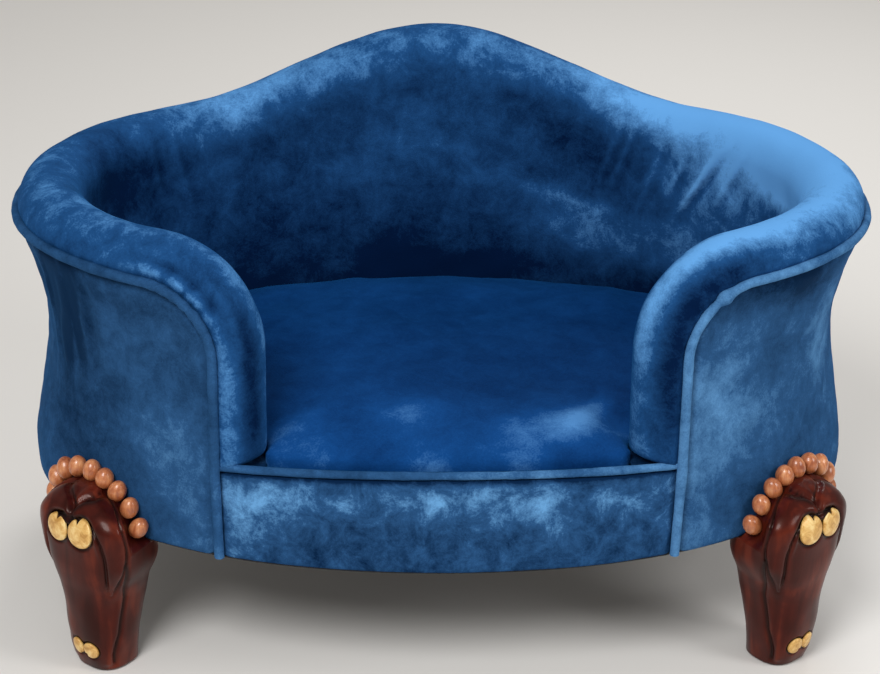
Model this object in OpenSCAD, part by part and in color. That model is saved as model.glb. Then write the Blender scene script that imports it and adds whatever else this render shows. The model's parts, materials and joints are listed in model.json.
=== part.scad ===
// A small upholstered sofa bed for a dog, in millimetres.
// X runs across the sofa, Y from front to back and Z up. The origin is on the floor, under its centre.
// The wall follows one plan curve: t is the angle along it, 0 at the middle of the back, 90 at the
// right side and 180 at the middle of the front. An offset is a distance outwards from that curve.

/* [Body] */
// Width of the plan curve
body_w = 744; // [660:1:820]
// Depth of the plan curve
body_d = 482; // [440:1:540]
// Power of the plan curve, 2 for an ellipse and more for squarer corners
plan_power_share = 2.1; // [2:0.05:2.4]
// Height of the body's bottom edge over the floor
body_z = 126; // [116:1:136]
// Height of the roll's centre line at the sides and arms
rim_z = 376; // [356:1:406]
// Rise of the back's hump over the sides
hump_h = 64; // [20:1:90]
// Half the width of the hump
hump_half_w = 245; // [200:1:290]
// How far the outside draws in at its waist
waist_in = 18; // [8:1:20]
// How far the outside comes out again beside the roll
brow_out = 5; // [3.5:0.5:6]
// Width of that band along the roll
brow_w = 46; // [36:1:54]
// How far the bottom edge turns in
tuck_in = 2; // [0:0.5:3]

/* [Roll] */
// Outer radius of the roll along the rim
roll_r = 30; // [28:0.5:33]
// How far the roll's centre line lies inside the plan curve
roll_in = 24; // [22:0.5:27]
// Radius of the roll's turn down the front of an arm
turn_r = 63; // [56:1:70]
// Radius of the piping under the roll and down the arms
piping_r = 4.2; // [3.2:0.1:4.6]

/* [Apron] */
// Height of the apron under the seat
apron_h = 85; // [78:1:92]
// How far the apron's top lies back in the middle
apron_back = 13; // [6:1:18]
// Radius of the piping on the apron
apron_piping_r = 3.5; // [2.5:0.1:4]

/* [Frame] */
// Thickness of the boards under the seat
board_t = 12; // [9:1:15]
// Height of the rails between the two boards
rail_h = 33; // [28:1:38]
// Width of those rails
rail_w = 18; // [12:1:24]
// Thickness of the bent board behind the apron
front_board_t = 9; // [6:1:10]
// Thickness of the upright ribs
rib_t = 12; // [9:1:18]
// Width of the bent top rail
top_rail_w = 18; // [14:1:18]
// Height of the bent top rail under the roll's centre line
top_rail_drop = 12; // [10:1:13]
// Height of the bent top rail over the roll's centre line
top_rail_rise = 6; // [4:1:8]
// Thickness of the bent panels
panel_t = 3; // [2:0.5:3.5]
// Width and depth of a corner block
block_w = 56; // [46:1:60]
// Thickness of the dust cover
dust_t = 1; // [0.6:0.1:1.4]

/* [Padding] */
// Thickness of the padding inside the wall
wall_foam_t = 19; // [15:1:20]
// Thickness of the velvet
velvet_t = 1.5; // [1:0.1:1.8]
// Height of the cushion's side
cushion_side_h = 36; // [28:1:42]
// Rise of the cushion's crown over its side
cushion_crown_h = 21; // [10:1:26]
// Gap between the cushion and the wall
cushion_gap = 2; // [1:0.5:4]
// Length of the cushion's zip
zip_length = 360; // [280:1:400]
// Width of the zip's tape
zip_tape_w = 26; // [20:1:30]
// Width of the slot that the zip closes
zip_slot_w = 10; // [8:1:12]

/* [Legs] */
// Height of a leg's wood to the top of its knee
leg_h = 174; // [166:1:182]
// Half the width of a leg at its knee
knee_half_w = 53; // [48:1:57]
// How far a knee stands out in front of the body
knee_out = 50; // [44:1:54]
// Diameter of the wooden beads
bead_d = 17.6; // [14:0.1:17.8]
// Half the width of the row of beads
bead_arch_w = 51.6; // [50:0.2:55]
// Height of the row of beads
bead_arch_h = 41.3; // [40:0.1:44]
// How far the middle of the row of beads lies towards the side
bead_arch_side = 12; // [8:1:14]
// How far a leg's bolt stands inside the plan curve
bolt_in = 20; // [18:1:24]
// Diameter of the bolt in each leg
bolt_d = 8; // [6:0.5:10]
// Thickness of the glide under each foot
glide_t = 2; // [1.5:0.1:3]
// Diameter of the glide
glide_d = 20; // [14:1:26]

/* [Fits] */
// Gap between pieces that lie against each other
fit = 0.3; // [0.2:0.05:0.4]

/* [Hidden] */

// Smallest length that a cut runs past a face
over = 1;
half_w = body_w/2;
half_d = body_d/2;
// The whole stands centred: the roll reaches past the curve behind, the apron doesn't in front
plan_y = -(roll_r - roll_in)/2;

// Angles along the plan curve of the arm's end and of a leg
arm_angle = 150;
leg_angle = 129;

// Heights
base_z = body_z + dust_t;
rails_z = base_z + board_t;
deck_z = rails_z + rail_h;
seat_z = deck_z + board_t;
apron_z = body_z + apron_h;
belly_share = 0.08;
belly_z = body_z + belly_share*(rim_z - body_z);
// Angle on the roll's section under which its piping runs, and the angle that the piping takes up there
piping_turn = 5;
piping_reach = roll_r - velvet_t/2 + fit;
piping_clear = asin((piping_r + 4*fit)/roll_r);
foam_turn = 2*piping_clear - piping_turn;
// Depths under the roll's centre line where the piping runs and where the pieces below it end
piping_drop = piping_reach*sin(piping_turn);
cover_drop = piping_drop + piping_r + fit;
lip_share = 1.5;
lip_drop = lip_share*top_rail_drop + fit;
panel_drop = lip_drop + fit;
wall_drop = lip_drop + 6*fit;
inner_panel_drop = top_rail_drop + 5*fit;
arm_turn_z = rim_z - turn_r;
arm_end_z = apron_z + 2*apron_piping_r + fit;

// Offsets of the wall's layers
wall_in = roll_in + roll_r;
layer = velvet_t + fit;
foam_in = wall_in - layer;
foam_out = foam_in - wall_foam_t;
inner_panel_in = foam_out - fit;
inner_panel_out = inner_panel_in - panel_t;
rib_in = inner_panel_out - fit;
panel_out = layer;
panel_in = panel_out + panel_t;
board_in = panel_in + 3*fit;
front_board_in = board_in + front_board_t;
apron_hook_in = front_board_in + 3*fit + velvet_t;

// Numbers of steps along the curve
main_steps = 18;
turn_steps = 4;
last_steps = 2;

// Plan curve

function spow(v, e) = sign(v)*pow(abs(v), e);
function smooth(v) = (1 - cos(180*min(1, max(0, v))))/2;

function plan_pt(t) = [
    half_w*spow(sin(t), 2/plan_power_share),
    half_d*spow(cos(t), 2/plan_power_share) + plan_y];

function normal(t) = let(
    e = 2 - 2/plan_power_share,
    n = [spow(sin(t), e)/half_w, spow(cos(t), e)/half_d]) n/norm(n);

// Direction along the curve towards the front
function forward(t) = let(n = normal(t)) sign(t)*[n.y, -n.x];

function at(t, offset) = plan_pt(t) + offset*normal(t);

// Degrees along the curve for a unit of length, near the arm's front
deg_per_mm = 1/norm(at(arm_angle, -roll_in) - at(arm_angle - 1, -roll_in));
turn_start_t = arm_angle - turn_r*deg_per_mm;
seam_t = arm_angle - piping_drop*deg_per_mm;

// Height of the roll's centre line
function rim_height(t) = let(x = abs(at(t, -roll_in).x))
    rim_z + (abs(t) < 90 && x < hump_half_w ? hump_h*pow(cos(90*x/hump_half_w), 2) : 0);

// Outside profile: offset against height, as shares of the height from the belly to the roll
profile_shares = [0, 0.05, 0.1, 0.17, 0.25, 0.35, 0.45, 0.55, 0.65, 0.75, 0.85, 0.93, 1];
waist_power_share = 1.2;
function profile_in(share) = waist_in*pow(sin(180*pow(share, waist_power_share)), 1.5);
tuck_share = 0.3;
profile = concat([[body_z, tuck_in], [(body_z + belly_z)/2, tuck_share*tuck_in]],
    [for (s = profile_shares) [belly_z + s*(rim_z - piping_drop - belly_z), profile_in(s)]]);

seam_sin = pow(sin(seam_t), 2);
function side_share(t) = max(0, (pow(sin(t), 2) - seam_sin)/(1 - seam_sin));

// Distance from the roll's centre line, over the rim, round the arm's turn and beside the arm
function along(t) = (abs(t) - turn_start_t)/deg_per_mm;
function roll_gap(t, z) = let(u = along(t))
    u < 0 ? rim_height(t) - z : turn_r - (z > arm_turn_z ? norm([u, z - arm_turn_z]) : u);
function brow_share(t, z) = smooth(1 - roll_gap(t, z)/brow_w);

function apron_share(t) = abs(t) < seam_t ? 0 : 1 - pow(plan_pt(t).x/plan_pt(seam_t).x, 2);
function apron_rise(z) = min(1, max(0, (z - body_z)/apron_h));

function skin(t, z) = -side_share(t)*lookup(z, profile)
    + apron_rise(z)*(brow_out*brow_share(t, z) - apron_back*apron_share(t));

// Stations along the rim: angle, turn of the section and height of the centre line

right_main = [for (i = [1:main_steps]) i*turn_start_t/main_steps];

// Distances along the curve past the start of the arm's turn: steps up to the panels' end, then up to
// the end of the outside cover
panel_end_u = turn_r - panel_drop;
cover_end_u = turn_r - cover_drop;
panel_us = [for (i = [1:turn_steps]) panel_end_u*sin(90*i/turn_steps)];
panel_end_turn = asin(panel_end_u/cover_end_u);
cover_us = concat(panel_us,
    [for (i = [1:last_steps]) cover_end_u*sin(panel_end_turn + i*(90 - panel_end_turn)/last_steps)]);
turns = [for (u = cover_us) asin(min(1, u/cover_end_u))];

function turn_station(turn, drop) = [
    arm_angle - (turn_r - (turn_r - drop)*sin(turn))*deg_per_mm,
    turn,
    arm_turn_z + (turn_r - drop)*cos(turn)];

function right_stations(drop) = concat(
    [for (t = right_main) [t, 0, rim_height(t) - drop]],
    [for (turn = turns) turn_station(turn, drop)]);

function mirrored(stations) = [for (i = [len(stations) - 1:-1:0])
    [-stations[i][0], stations[i][1], stations[i][2]]];

function both_sides(right, drop) = concat(mirrored(right), [[0, 0, rim_height(0) - drop]], right);

function wall_stations(drop) = both_sides(right_stations(drop), drop);

function roll_stations(end_z) = both_sides(concat(right_stations(0), [[arm_angle, 90, end_z]]), 0);

// Stations across the apron, from the right seam to the left
apron_end_t = arm_angle - (piping_drop - piping_r - 3*fit)*deg_per_mm;
apron_steps = 20;
apron_ts = [for (i = [0:apron_steps]) apron_end_t + i*(360 - 2*apron_end_t)/apron_steps];
function signed_t(t) = t > 180 ? t - 360 : t;

// Angles across a layer of the outside
function skin_ts(us) = let(right = concat(right_main, [for (u = us) arm_angle - (turn_r - u)*deg_per_mm]))
    concat([for (i = [len(right) - 1:-1:0]) -right[i]], [0], right);
panel_ts = skin_ts(panel_us);
cover_ts = skin_ts(cover_us);

// All round
plate_ts = concat(panel_ts, [for (t = apron_ts) signed_t(t)]);

// Point of the roll's section: a outwards and b up, turned with the station
function roll_pt(s, a, b) = let(p = at(s[0], a - roll_in) + b*sin(s[1])*forward(s[0]))
    [p.x, p.y, s[2] + b*cos(s[1])];

function roll_ring(s, pts) = [for (p = pts) roll_pt(s, p.x, p.y)];

// Ring of a wall section whose points are offset and height
function wall_ring(t, pts) = [for (p = pts) let(q = at(t, p.x)) [q.x, q.y, p.y]];

// Closed solid through equal rings, in order. Each four-sided patch is split along the diagonal that
// climbs, so that neighbouring layers keep their gap
module loft(rings) {
    n = len(rings[0]);
    m = len(rings);
    polyhedron(
        points = [for (r = rings) each r],
        faces = concat(
            [[for (i = [0:n - 1]) i]],
            [for (j = [0:m - 2]) for (i = [0:n - 1]) let(
                k = (i + 1)%n, a = j*n + i, b = j*n + k, c = a + n, d = b + n)
                each (rings[j][k].z > rings[j][i].z ? [[a, c, d], [a, d, b]] : [[a, c, b], [b, c, d]])],
            [[for (i = [n - 1:-1:0]) (m - 1)*n + i]]));
}

// Plate whose edge keeps an inset from the outside
module plate(z, t, inset_side, inset_front) {
    translate([0, 0, z])
        linear_extrude(t)
            polygon([for (a = plate_ts)
                at(a, min(skin(a, z), skin(a, z + t)) - (abs(a) > seam_t ? inset_front : inset_side))]);
}

// Layer of the wall between two offsets
module wall_layer(stations, inner, outer, bottom) {
    loft([for (s = stations) wall_ring(s[0],
        [[-inner, bottom], [-outer, bottom], [-outer, s[2]], [-inner, s[2]]])]);
}

// Heights of a layer's points at an angle. Up to the panels' top all layers have the same
rise_shares = [0.05, 0.11, 0.2, 0.32, 0.47, 0.65, 0.85];
brow_rise_shares = [0.4, 0.65, 0.84, 1];
level_zs = [for (r = rise_shares) body_z + r*(arm_turn_z - body_z)];
last_level_z = level_zs[len(level_zs) - 1];

function layer_top(t, drop) = let(u = along(t)) u < 0 ? rim_height(t) - drop
    : arm_turn_z + sqrt(max(0, pow(turn_r - drop, 2) - u*u));
function layer_zs(t, bottom, drop) = let(
    top = layer_top(t, drop),
    shared = min(layer_top(t, panel_drop), top - (panel_drop - drop)/2))
    concat([bottom], level_zs, [for (r = brow_rise_shares) last_level_z + r*(shared - last_level_z)],
        drop < panel_drop ? [top] : []);

// Layer of the outside between two depths under the skin
module skin_layer(ts, outer, inner, bottom, drop) {
    loft([for (t = ts) let(zs = layer_zs(t, bottom, drop))
        wall_ring(t, concat(
            [for (z = zs) [skin(t, z) - outer, z]],
            [for (i = [len(zs) - 1:-1:0]) [skin(t, zs[i]) - inner, zs[i]]]))]);
}

// Round part of the roll's section, which all its layers share past the piping
roll_turns = [for (i = [1:9]) 20*i];

function arc(r, turns) = [for (a = turns) r*[cos(a), sin(a)]];

// Frame

bolt_hole_d = bolt_d + 2*fit;

// Front right leg's own directions: outwards to the side, and towards its front
leg_turn = atan2(normal(leg_angle).x, -normal(leg_angle).y);
leg_side = [cos(leg_turn), sin(leg_turn)];
leg_front = [sin(leg_turn), -cos(leg_turn)];
leg_o = at(leg_angle, 0);
function leg_plan(side, front) = leg_o + side*leg_side + front*leg_front;

// Copies a front right piece to a corner: 1 or -1 for right or left and for front or rear
module corner(side, front) {
    translate([0, plan_y, 0])
        scale_sign(side, front)
            translate([0, -plan_y, 0])
                children();
}

module scale_sign(side, front) {
    mirror([side < 0 ? 1 : 0, 0, 0])
        mirror([0, front < 0 ? 1 : 0, 0])
            children();
}

corners = [[-1, 1], [1, 1], [-1, -1], [1, -1]];

module bolt_holes() {
    for (c = corners)
        corner(c.x, c.y)
            translate([each leg_plan(0, -bolt_in), body_z - over])
                cylinder(d = bolt_hole_d, h = rim_z - body_z, $fn = 32);
}

module base_board() {
    color("burlywood")
        difference() {
            plate(base_z, board_t, board_in, board_in);
            bolt_holes();
        }
}

module deck_board() {
    color("burlywood")
        plate(deck_z, board_t, board_in, front_board_in + 3*fit);
}

rail_x_share = 0.44;
rail_l_share = 0.72;

module floor_rail(x_share) {
    translate([x_share*half_w - rail_w/2, plan_y - rail_l_share*half_d, rails_z])
        cube([rail_w, 2*rail_l_share*half_d, rail_h]);
}

module left_floor_rail() {
    color("tan")
        floor_rail(-rail_x_share);
}

module centre_floor_rail() {
    color("tan")
        floor_rail(0);
}

module right_floor_rail() {
    color("tan")
        floor_rail(rail_x_share);
}

block_front_share = 0.5;
block_depth_share = 0.75;

module block(side, front) {
    color("peru")
        corner(side, front)
            difference() {
                translate([each leg_plan(0, -bolt_in), rails_z])
                    rotate([0, 0, leg_turn])
                        translate([-block_w/2, -block_front_share*bolt_in, 0])
                            cube([block_w, block_depth_share*block_w, rail_h]);
                bolt_holes();
            }
}

module front_left_block() block(-1, 1);
module front_right_block() block(1, 1);
module rear_left_block() block(-1, -1);
module rear_right_block() block(1, -1);

module apron_layer(outer, inner, bottom, top) {
    loft([for (u = apron_ts) let(t = signed_t(u), low = skin(t, bottom), high = skin(t, top))
        wall_ring(t, [[high - inner, top], [low - inner, bottom], [low - outer, bottom], [high - outer, top]])]);
}

module front_board() {
    color("burlywood")
        apron_layer(board_in, front_board_in, rails_z, apron_z - layer);
}

// Height of the roll's centre line on its straight stretches between stations
rim_table = [for (s = wall_stations(0)) [s[0], s[2]]];

rib_shares = [0:0.125:1];

// Board standing on the seat board across the wall at a station, with a neck up to the top rail
module rib(t) {
    half_t = rib_t/2/norm(at(t + 0.5, -roll_in) - at(t - 0.5, -roll_in));
    across = [t - half_t, t, t + half_t];
    rim = min([for (u = across) lookup(u, rim_table)]) - fit;
    top = rim - panel_drop;
    neck = top_rail_w/2 - fit;
    p = plan_pt(t);
    color("burlywood")
        translate([p.x, p.y, 0])
            rotate([90, 0, atan2(normal(t).y, normal(t).x)])
                linear_extrude(rib_t, center = true)
                    polygon(concat(
                        [[-rib_in, rim - top_rail_drop], [-rib_in, seat_z]],
                        [for (r = rib_shares) let(z = seat_z + r*(top - seat_z))
                            [min([for (u = across) skin(u, z)]) - board_in, z]],
                        [[neck - roll_in, top], [neck - roll_in, rim - top_rail_drop]]));
}

module back_rib() rib(0);
module rear_left_rib() rib(-right_main[4]);
module rear_right_rib() rib(right_main[4]);
module side_left_rib() rib(-right_main[9]);
module side_right_rib() rib(right_main[9]);
module arm_left_rib() rib(-right_main[14]);
module arm_right_rib() rib(right_main[14]);

rail_section = [
    [top_rail_w/2, -top_rail_drop], [top_rail_w/2, top_rail_rise],
    [-top_rail_w/2, top_rail_rise], [-top_rail_w/2, -top_rail_drop]];

// Post under the end of the top rail
module arm_post(side) {
    color("tan")
        corner(side, 1)
            translate([0, 0, seat_z])
                linear_extrude(arm_turn_z - seat_z)
                    polygon([for (p = roll_ring([arm_angle, 90, 0], rail_section)) [p.x, p.y]]);
}

module left_arm_post() arm_post(-1);
module right_arm_post() arm_post(1);

module top_rail() {
    color("tan")
        loft([for (s = both_sides(right_stations(0), 0)) roll_ring(s, rail_section)]);
}

// Panels and padding

wall_split_t = right_main[7];

module inner_panel() {
    color("wheat")
        wall_layer(wall_stations(inner_panel_drop), inner_panel_in, inner_panel_out, seat_z);
}

module outer_panel(low, high) {
    color("wheat")
        skin_layer([for (t = panel_ts) if (t >= low && t <= high) t],
            panel_out, panel_in, base_z, panel_drop);
}

module left_outer_panel() outer_panel(-arm_angle, -wall_split_t);
module back_outer_panel() outer_panel(-wall_split_t, wall_split_t);
module right_outer_panel() outer_panel(wall_split_t, arm_angle);

module wall_foam(low, high) {
    color("khaki")
        wall_layer([for (s = wall_stations(wall_drop)) if (s[0] >= low && s[0] <= high) s],
            foam_in, foam_out, seat_z);
}

module left_wall_foam() wall_foam(-arm_angle, -wall_split_t);
module back_wall_foam() wall_foam(-wall_split_t, wall_split_t);
module right_wall_foam() wall_foam(wall_split_t, arm_angle);

// Foam bent over the top rail, open below for the ribs, in three lengths
module roll_foam(low, high) {
    r = roll_r - layer;
    slot = top_rail_w/2 + 4*fit;
    turns = concat([foam_turn], roll_turns, [180 + asin(lip_drop/r)]);
    section = concat(arc(r, turns), [
        [-slot, -lip_drop], [-slot, top_rail_rise + 2*fit],
        [slot, top_rail_rise + 2*fit], [slot, -lip_drop], [2/3*roll_r, -lip_drop]]);
    color("khaki")
        loft([for (s = roll_stations(arm_end_z)) if (s[0] >= low && s[0] <= high) roll_ring(s, section)]);
}

module left_roll_foam() roll_foam(-arm_angle, -wall_split_t);
module back_roll_foam() roll_foam(-wall_split_t, wall_split_t);
module right_roll_foam() roll_foam(wall_split_t, arm_angle);

module apron_pad() {
    color("khaki")
        apron_layer(panel_out, panel_in, base_z, apron_z - layer);
}

// Covers

module inside_cover() {
    color("midnightblue")
        wall_layer(wall_stations(fit), wall_in, wall_in - velvet_t, seat_z);
}

module roll_cover() {
    turns = concat([piping_clear - piping_turn, foam_turn], roll_turns);
    color("steelblue")
        loft([for (s = roll_stations(arm_end_z)) roll_ring(s, concat(
            arc(roll_r, turns), arc(roll_r - velvet_t, [for (i = [len(turns) - 1:-1:0]) turns[i]])))]);
}

module outside_cover() {
    color("steelblue")
        skin_layer(cover_ts, 0, velvet_t, body_z, cover_drop);
}

// Cover over the apron, turned in over its top and hooked behind the board
module apron_cover() {
    top = apron_z - velvet_t;
    hem = top - board_t/2;
    color("steelblue")
        loft([for (u = apron_ts) let(t = signed_t(u), d = skin(t, apron_z), low = skin(t, body_z))
            wall_ring(t, [
                [low, body_z], [d, apron_z], [d - apron_hook_in, apron_z], [d - apron_hook_in, hem],
                [d - apron_hook_in + velvet_t, hem], [d - apron_hook_in + velvet_t, top],
                [d - velvet_t, top], [low - velvet_t, body_z]])]);
}

// Round cord along a path of points, with the section's two directions at each
module piping(frames, r) {
    loft([for (f = frames) [for (i = [0:7]) f[0] + r*(cos(45*i)*f[1] + sin(45*i)*f[2])]]);
}

function flat(v) = [v.x, v.y, 0];

// Piping frames along the roll, then straight down each front seam
function roll_piping_frame(s) = [
    roll_pt(s, piping_reach*cos(piping_turn), -piping_drop),
    flat(normal(s[0])),
    [0, 0, cos(s[1])] + sin(s[1])*flat(forward(s[0]))];

function seam_piping_frame(z, side) = let(
    t = side*(arm_angle - piping_drop*deg_per_mm),
    p = roll_pt([side*arm_angle, 90, z], piping_reach*cos(piping_turn), -piping_drop),
    q = (brow_out*(1 - apron_rise(z)) + side_share(t)*lookup(z, profile))*normal(side*arm_angle))
    [[p.x - q.x, p.y - q.y, z], flat(normal(side*arm_angle)), flat(forward(side*arm_angle))];

seam_piping_z = base_z + fit;
seam_zs = [for (r = [1, 0.8, 0.6, 0.4, 0.2, 0]) seam_piping_z + r*(apron_z - seam_piping_z)];

module roll_piping() {
    color("steelblue")
        piping(concat(
            [for (i = [len(seam_zs) - 1:-1:0]) seam_piping_frame(seam_zs[i], -1)],
            [for (s = both_sides(right_stations(0), 0)) roll_piping_frame(s)],
            [for (z = seam_zs) seam_piping_frame(z, 1)]), piping_r);
}

module apron_piping() {
    color("steelblue")
        piping([for (u = apron_ts) let(t = signed_t(u), n = normal(t),
                p = at(t, skin(t, apron_z) - apron_piping_r))
            [[p.x, p.y, apron_z + apron_piping_r], flat(n), [0, 0, 1]]], apron_piping_r);
}

module dust_cover() {
    color("dimgray")
        difference() {
            plate(body_z, dust_t, layer, layer);
            bolt_holes();
        }
}

staple_length = 9;
staple_w = 1.2;
staple_h = 0.6;
staple_in = 16;
staple_side_ts = [for (i = [-2:2]) 90 + 10*i];
staple_front_ts = [for (i = [-4:4]) 180 + 8*i];

staple_back_ts = [for (t = staple_front_ts) t - 180];
staple_ts = concat(staple_side_ts, staple_front_ts, -staple_side_ts, staple_back_ts);

// Staples' crowns under the dust cover, clear of the legs
module staples() {
    color("silver")
        for (t = staple_ts)
            let(p = at(t, -staple_in), n = normal(t))
                translate([p.x, p.y, body_z - staple_h])
                    rotate([0, 0, atan2(n.y, n.x)])
                        translate([-staple_w/2, -staple_length/2, 0])
                            cube([staple_w, staple_length, staple_h]);
}

// Legs

// Rows of a leg from its foot up. Height as a share of leg_h; then, as shares of knee_half_w, the
// middle and half the width of its front part, and the same of its back part; then, as shares of
// knee_out, how far it stands out at the front and at the back
leg_shares = [
    [0.000, 0, 0.45, 0, 0.45, 0.69, -0.27],
    [0.050, 0, 0.48, 0, 0.48, 0.75, -0.27],
    [0.140, 0, 0.52, 0, 0.52, 0.82, -0.29],
    [0.270, 0, 0.54, 0, 0.54, 0.89, -0.40],
    [0.400, 0, 0.58, 0, 0.58, 0.92, -0.54],
    [0.480, 0, 0.65, 0, 0.65, 0.95, -0.56],
    [0.550, 0, 0.77, 0, 0.77, 0.98, -0.58],
    [0.640, 0, 0.90, 0.06, 0.93, 1.00, -0.63]];
knee_shares = [
    [0.000, 0, 0.95, 0.12, 1.03, 1.00, -0.65],
    [0.050, 0, 0.95, 0.12, 1.03, 1.00, -0.20],
    [0.080, 0, 0.95, 0.23, 0.85, 1.00, -0.20],
    [0.250, 0, 0.95, 0.23, 0.85, 1.00, -0.20],
    [0.460, 0.01, 0.93, 0.23, 0.80, 0.98, -0.20],
    [0.650, 0.03, 0.82, 0.23, 0.69, 0.90, -0.20],
    [0.800, 0.08, 0.62, 0.23, 0.53, 0.75, -0.20],
    [0.920, 0.13, 0.37, 0.23, 0.29, 0.58, -0.20],
    [1.000, 0.18, 0.15, 0.23, 0.12, 0.40, -0.20]];
leg_ring_n = 20;
leg_power_share = 2.6;
// Where round a ring the back part passes into the front part
part_share = 0.2;
leg_gap = 2*fit;
leg_top_z = body_z - staple_h - fit;

// Depth of the outside skin at a height, and the angle of the plan, against the distance sideways
function skin_table(z) = [for (t = [leg_angle + 36:-2:leg_angle - 36]) let(
    p = at(t, skin(t, z) + leg_gap) - leg_o) [p*leg_side, p*leg_front]];
side_table = [for (t = [leg_angle + 36:-2:leg_angle - 36]) [(at(t, 0) - leg_o)*leg_side, t]];

function leg_ring(z, row, against) = let(
    table = skin_table(z),
    half_front = (row[5] - row[6])*knee_out/2,
    middle = (row[5] + row[6])*knee_out/2)
    [for (i = [0:leg_ring_n - 1]) let(
        a = 360*(i + 0.5)/leg_ring_n,
        part = smooth((cos(a) + part_share)/(3*part_share)),
        shift = row[3] + (row[1] - row[3])*part,
        half_side = row[4] + (row[2] - row[4])*part,
        side = (shift + half_side*spow(sin(a), 2/leg_power_share))*knee_half_w,
        front = middle + half_front*spow(cos(a), 2/leg_power_share),
        p = leg_plan(side, against ? max(front, lookup(side, table)) : front))
        [p.x, p.y, z]];

function knee_z(share) = body_z + share*(leg_h - body_z);

// Turns of the beads round their arch
bead_turns = [-90, -64.6, -41.8, -20.5, 0, 20.5, 41.8, 64.6, 90];
bead_share = 0.252;
bead_z = body_z + bead_share*(leg_h - body_z);

function bead_pt(turn) = let(
    z = bead_z + bead_arch_h*cos(turn),
    t = lookup(bead_arch_side + bead_arch_w*sin(turn), side_table),
    p = at(t, skin(t, z) + bead_d/2 + leg_gap)) [p.x, p.y, z];

module bead_row(r) {
    for (turn = bead_turns)
        translate(bead_pt(turn))
            sphere(r = r, $fn = 32);
}

// Gold inlays: distance sideways and height as shares of knee_half_w and leg_h, half width and half
// height of the oval as shares of knee_half_w, turn towards the side
inlay_shares = [
    [-0.25, 0.82, 0.215, 0.265, -9],
    [0.25, 0.82, 0.215, 0.265, 9],
    [-0.125, 0.12, 0.11, 0.15, -10],
    [0.125, 0.12, 0.11, 0.15, 10]];
inlay_t = 4;
inlay_seat = 2;
inlay_steps = 24;
notch_share = 0.45;

function leg_front_at(z) = knee_out*lookup(z/leg_h, concat(
    [for (row = leg_shares) [row[0], row[5]]],
    [for (row = knee_shares) [knee_z(row[0])/leg_h, row[5]]]));

// Outline of an inlay, with a small notch at its top
module oval(half_width, half_height, notch) {
    polygon([for (i = [0:inlay_steps - 1]) let(a = 90 + 360*i/inlay_steps, k = i == 0 ? notch : 1)
        k*[half_width*cos(a), half_height*sin(a)]]);
}

module place_inlay(row) {
    translate([each leg_plan(row[0]*knee_half_w, leg_front_at(row[1]*leg_h)), row[1]*leg_h])
        rotate([0, 0, leg_turn + row[4] - 90])
            rotate([90, 0, 90])
                children();
}

module inlays() {
    for (row = inlay_shares)
        place_inlay(row)
            translate([0, 0, -inlay_seat])
                linear_extrude(inlay_t)
                    oval(row[2]*knee_half_w, row[3]*knee_half_w, notch_share);
}

module inlay_seats() {
    for (row = inlay_shares)
        place_inlay(row)
            translate([0, 0, -inlay_seat - fit])
                linear_extrude(inlay_t + knee_out)
                    oval(row[2]*knee_half_w + fit, row[3]*knee_half_w + fit, 1);
}

bolt_top_z = deck_z - fit;
bolt_reach_share = 0.16;
bolt_bottom_z = (1 - bolt_reach_share)*body_z;

module leg() {
    difference() {
        loft(concat(
            [for (row = leg_shares) leg_ring(glide_t + row[0]*(leg_h - glide_t), row, false)],
            [leg_ring(leg_top_z, knee_shares[0], false)],
            [for (row = knee_shares) leg_ring(knee_z(row[0]), row, true)]));
        bead_row(bead_d/2 + fit);
        inlay_seats();
        translate([each leg_plan(0, -bolt_in), bolt_bottom_z - fit])
            cylinder(d = bolt_hole_d, h = body_z, $fn = 32);
    }
}

module leg_at(side, front) {
    color("saddlebrown")
        corner(side, front)
            leg();
}

module front_left_leg() leg_at(-1, 1);
module front_right_leg() leg_at(1, 1);
module rear_left_leg() leg_at(-1, -1);
module rear_right_leg() leg_at(1, -1);

module beads_at(side, front) {
    color("peru")
        corner(side, front)
            bead_row(bead_d/2);
}

module front_left_beads() beads_at(-1, 1);
module front_right_beads() beads_at(1, 1);
module rear_left_beads() beads_at(-1, -1);
module rear_right_beads() beads_at(1, -1);

module inlays_at(side, front) {
    color("khaki")
        corner(side, front)
            inlays();
}

module front_left_inlays() inlays_at(-1, 1);
module front_right_inlays() inlays_at(1, 1);
module rear_left_inlays() inlays_at(-1, -1);
module rear_right_inlays() inlays_at(1, -1);

module leg_bolts() {
    color("silver")
        for (c = corners)
            corner(c.x, c.y)
                translate([each leg_plan(0, -bolt_in), bolt_bottom_z])
                    cylinder(d = bolt_d, h = bolt_top_z - bolt_bottom_z, $fn = 32);
}

module glides() {
    color("black")
        for (c = corners)
            corner(c.x, c.y)
                translate([each leg_plan(0, (leg_shares[0][5] + leg_shares[0][6])*knee_out/2), 0])
                    cylinder(d = glide_d, h = glide_t, $fn = 48);
}

// Cushion

cushion_z = seat_z + fit;
cushion_side_z = cushion_z + cushion_side_h;
cushion_reach = wall_in + cushion_gap;
cushion_front_angle = 157;

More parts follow.
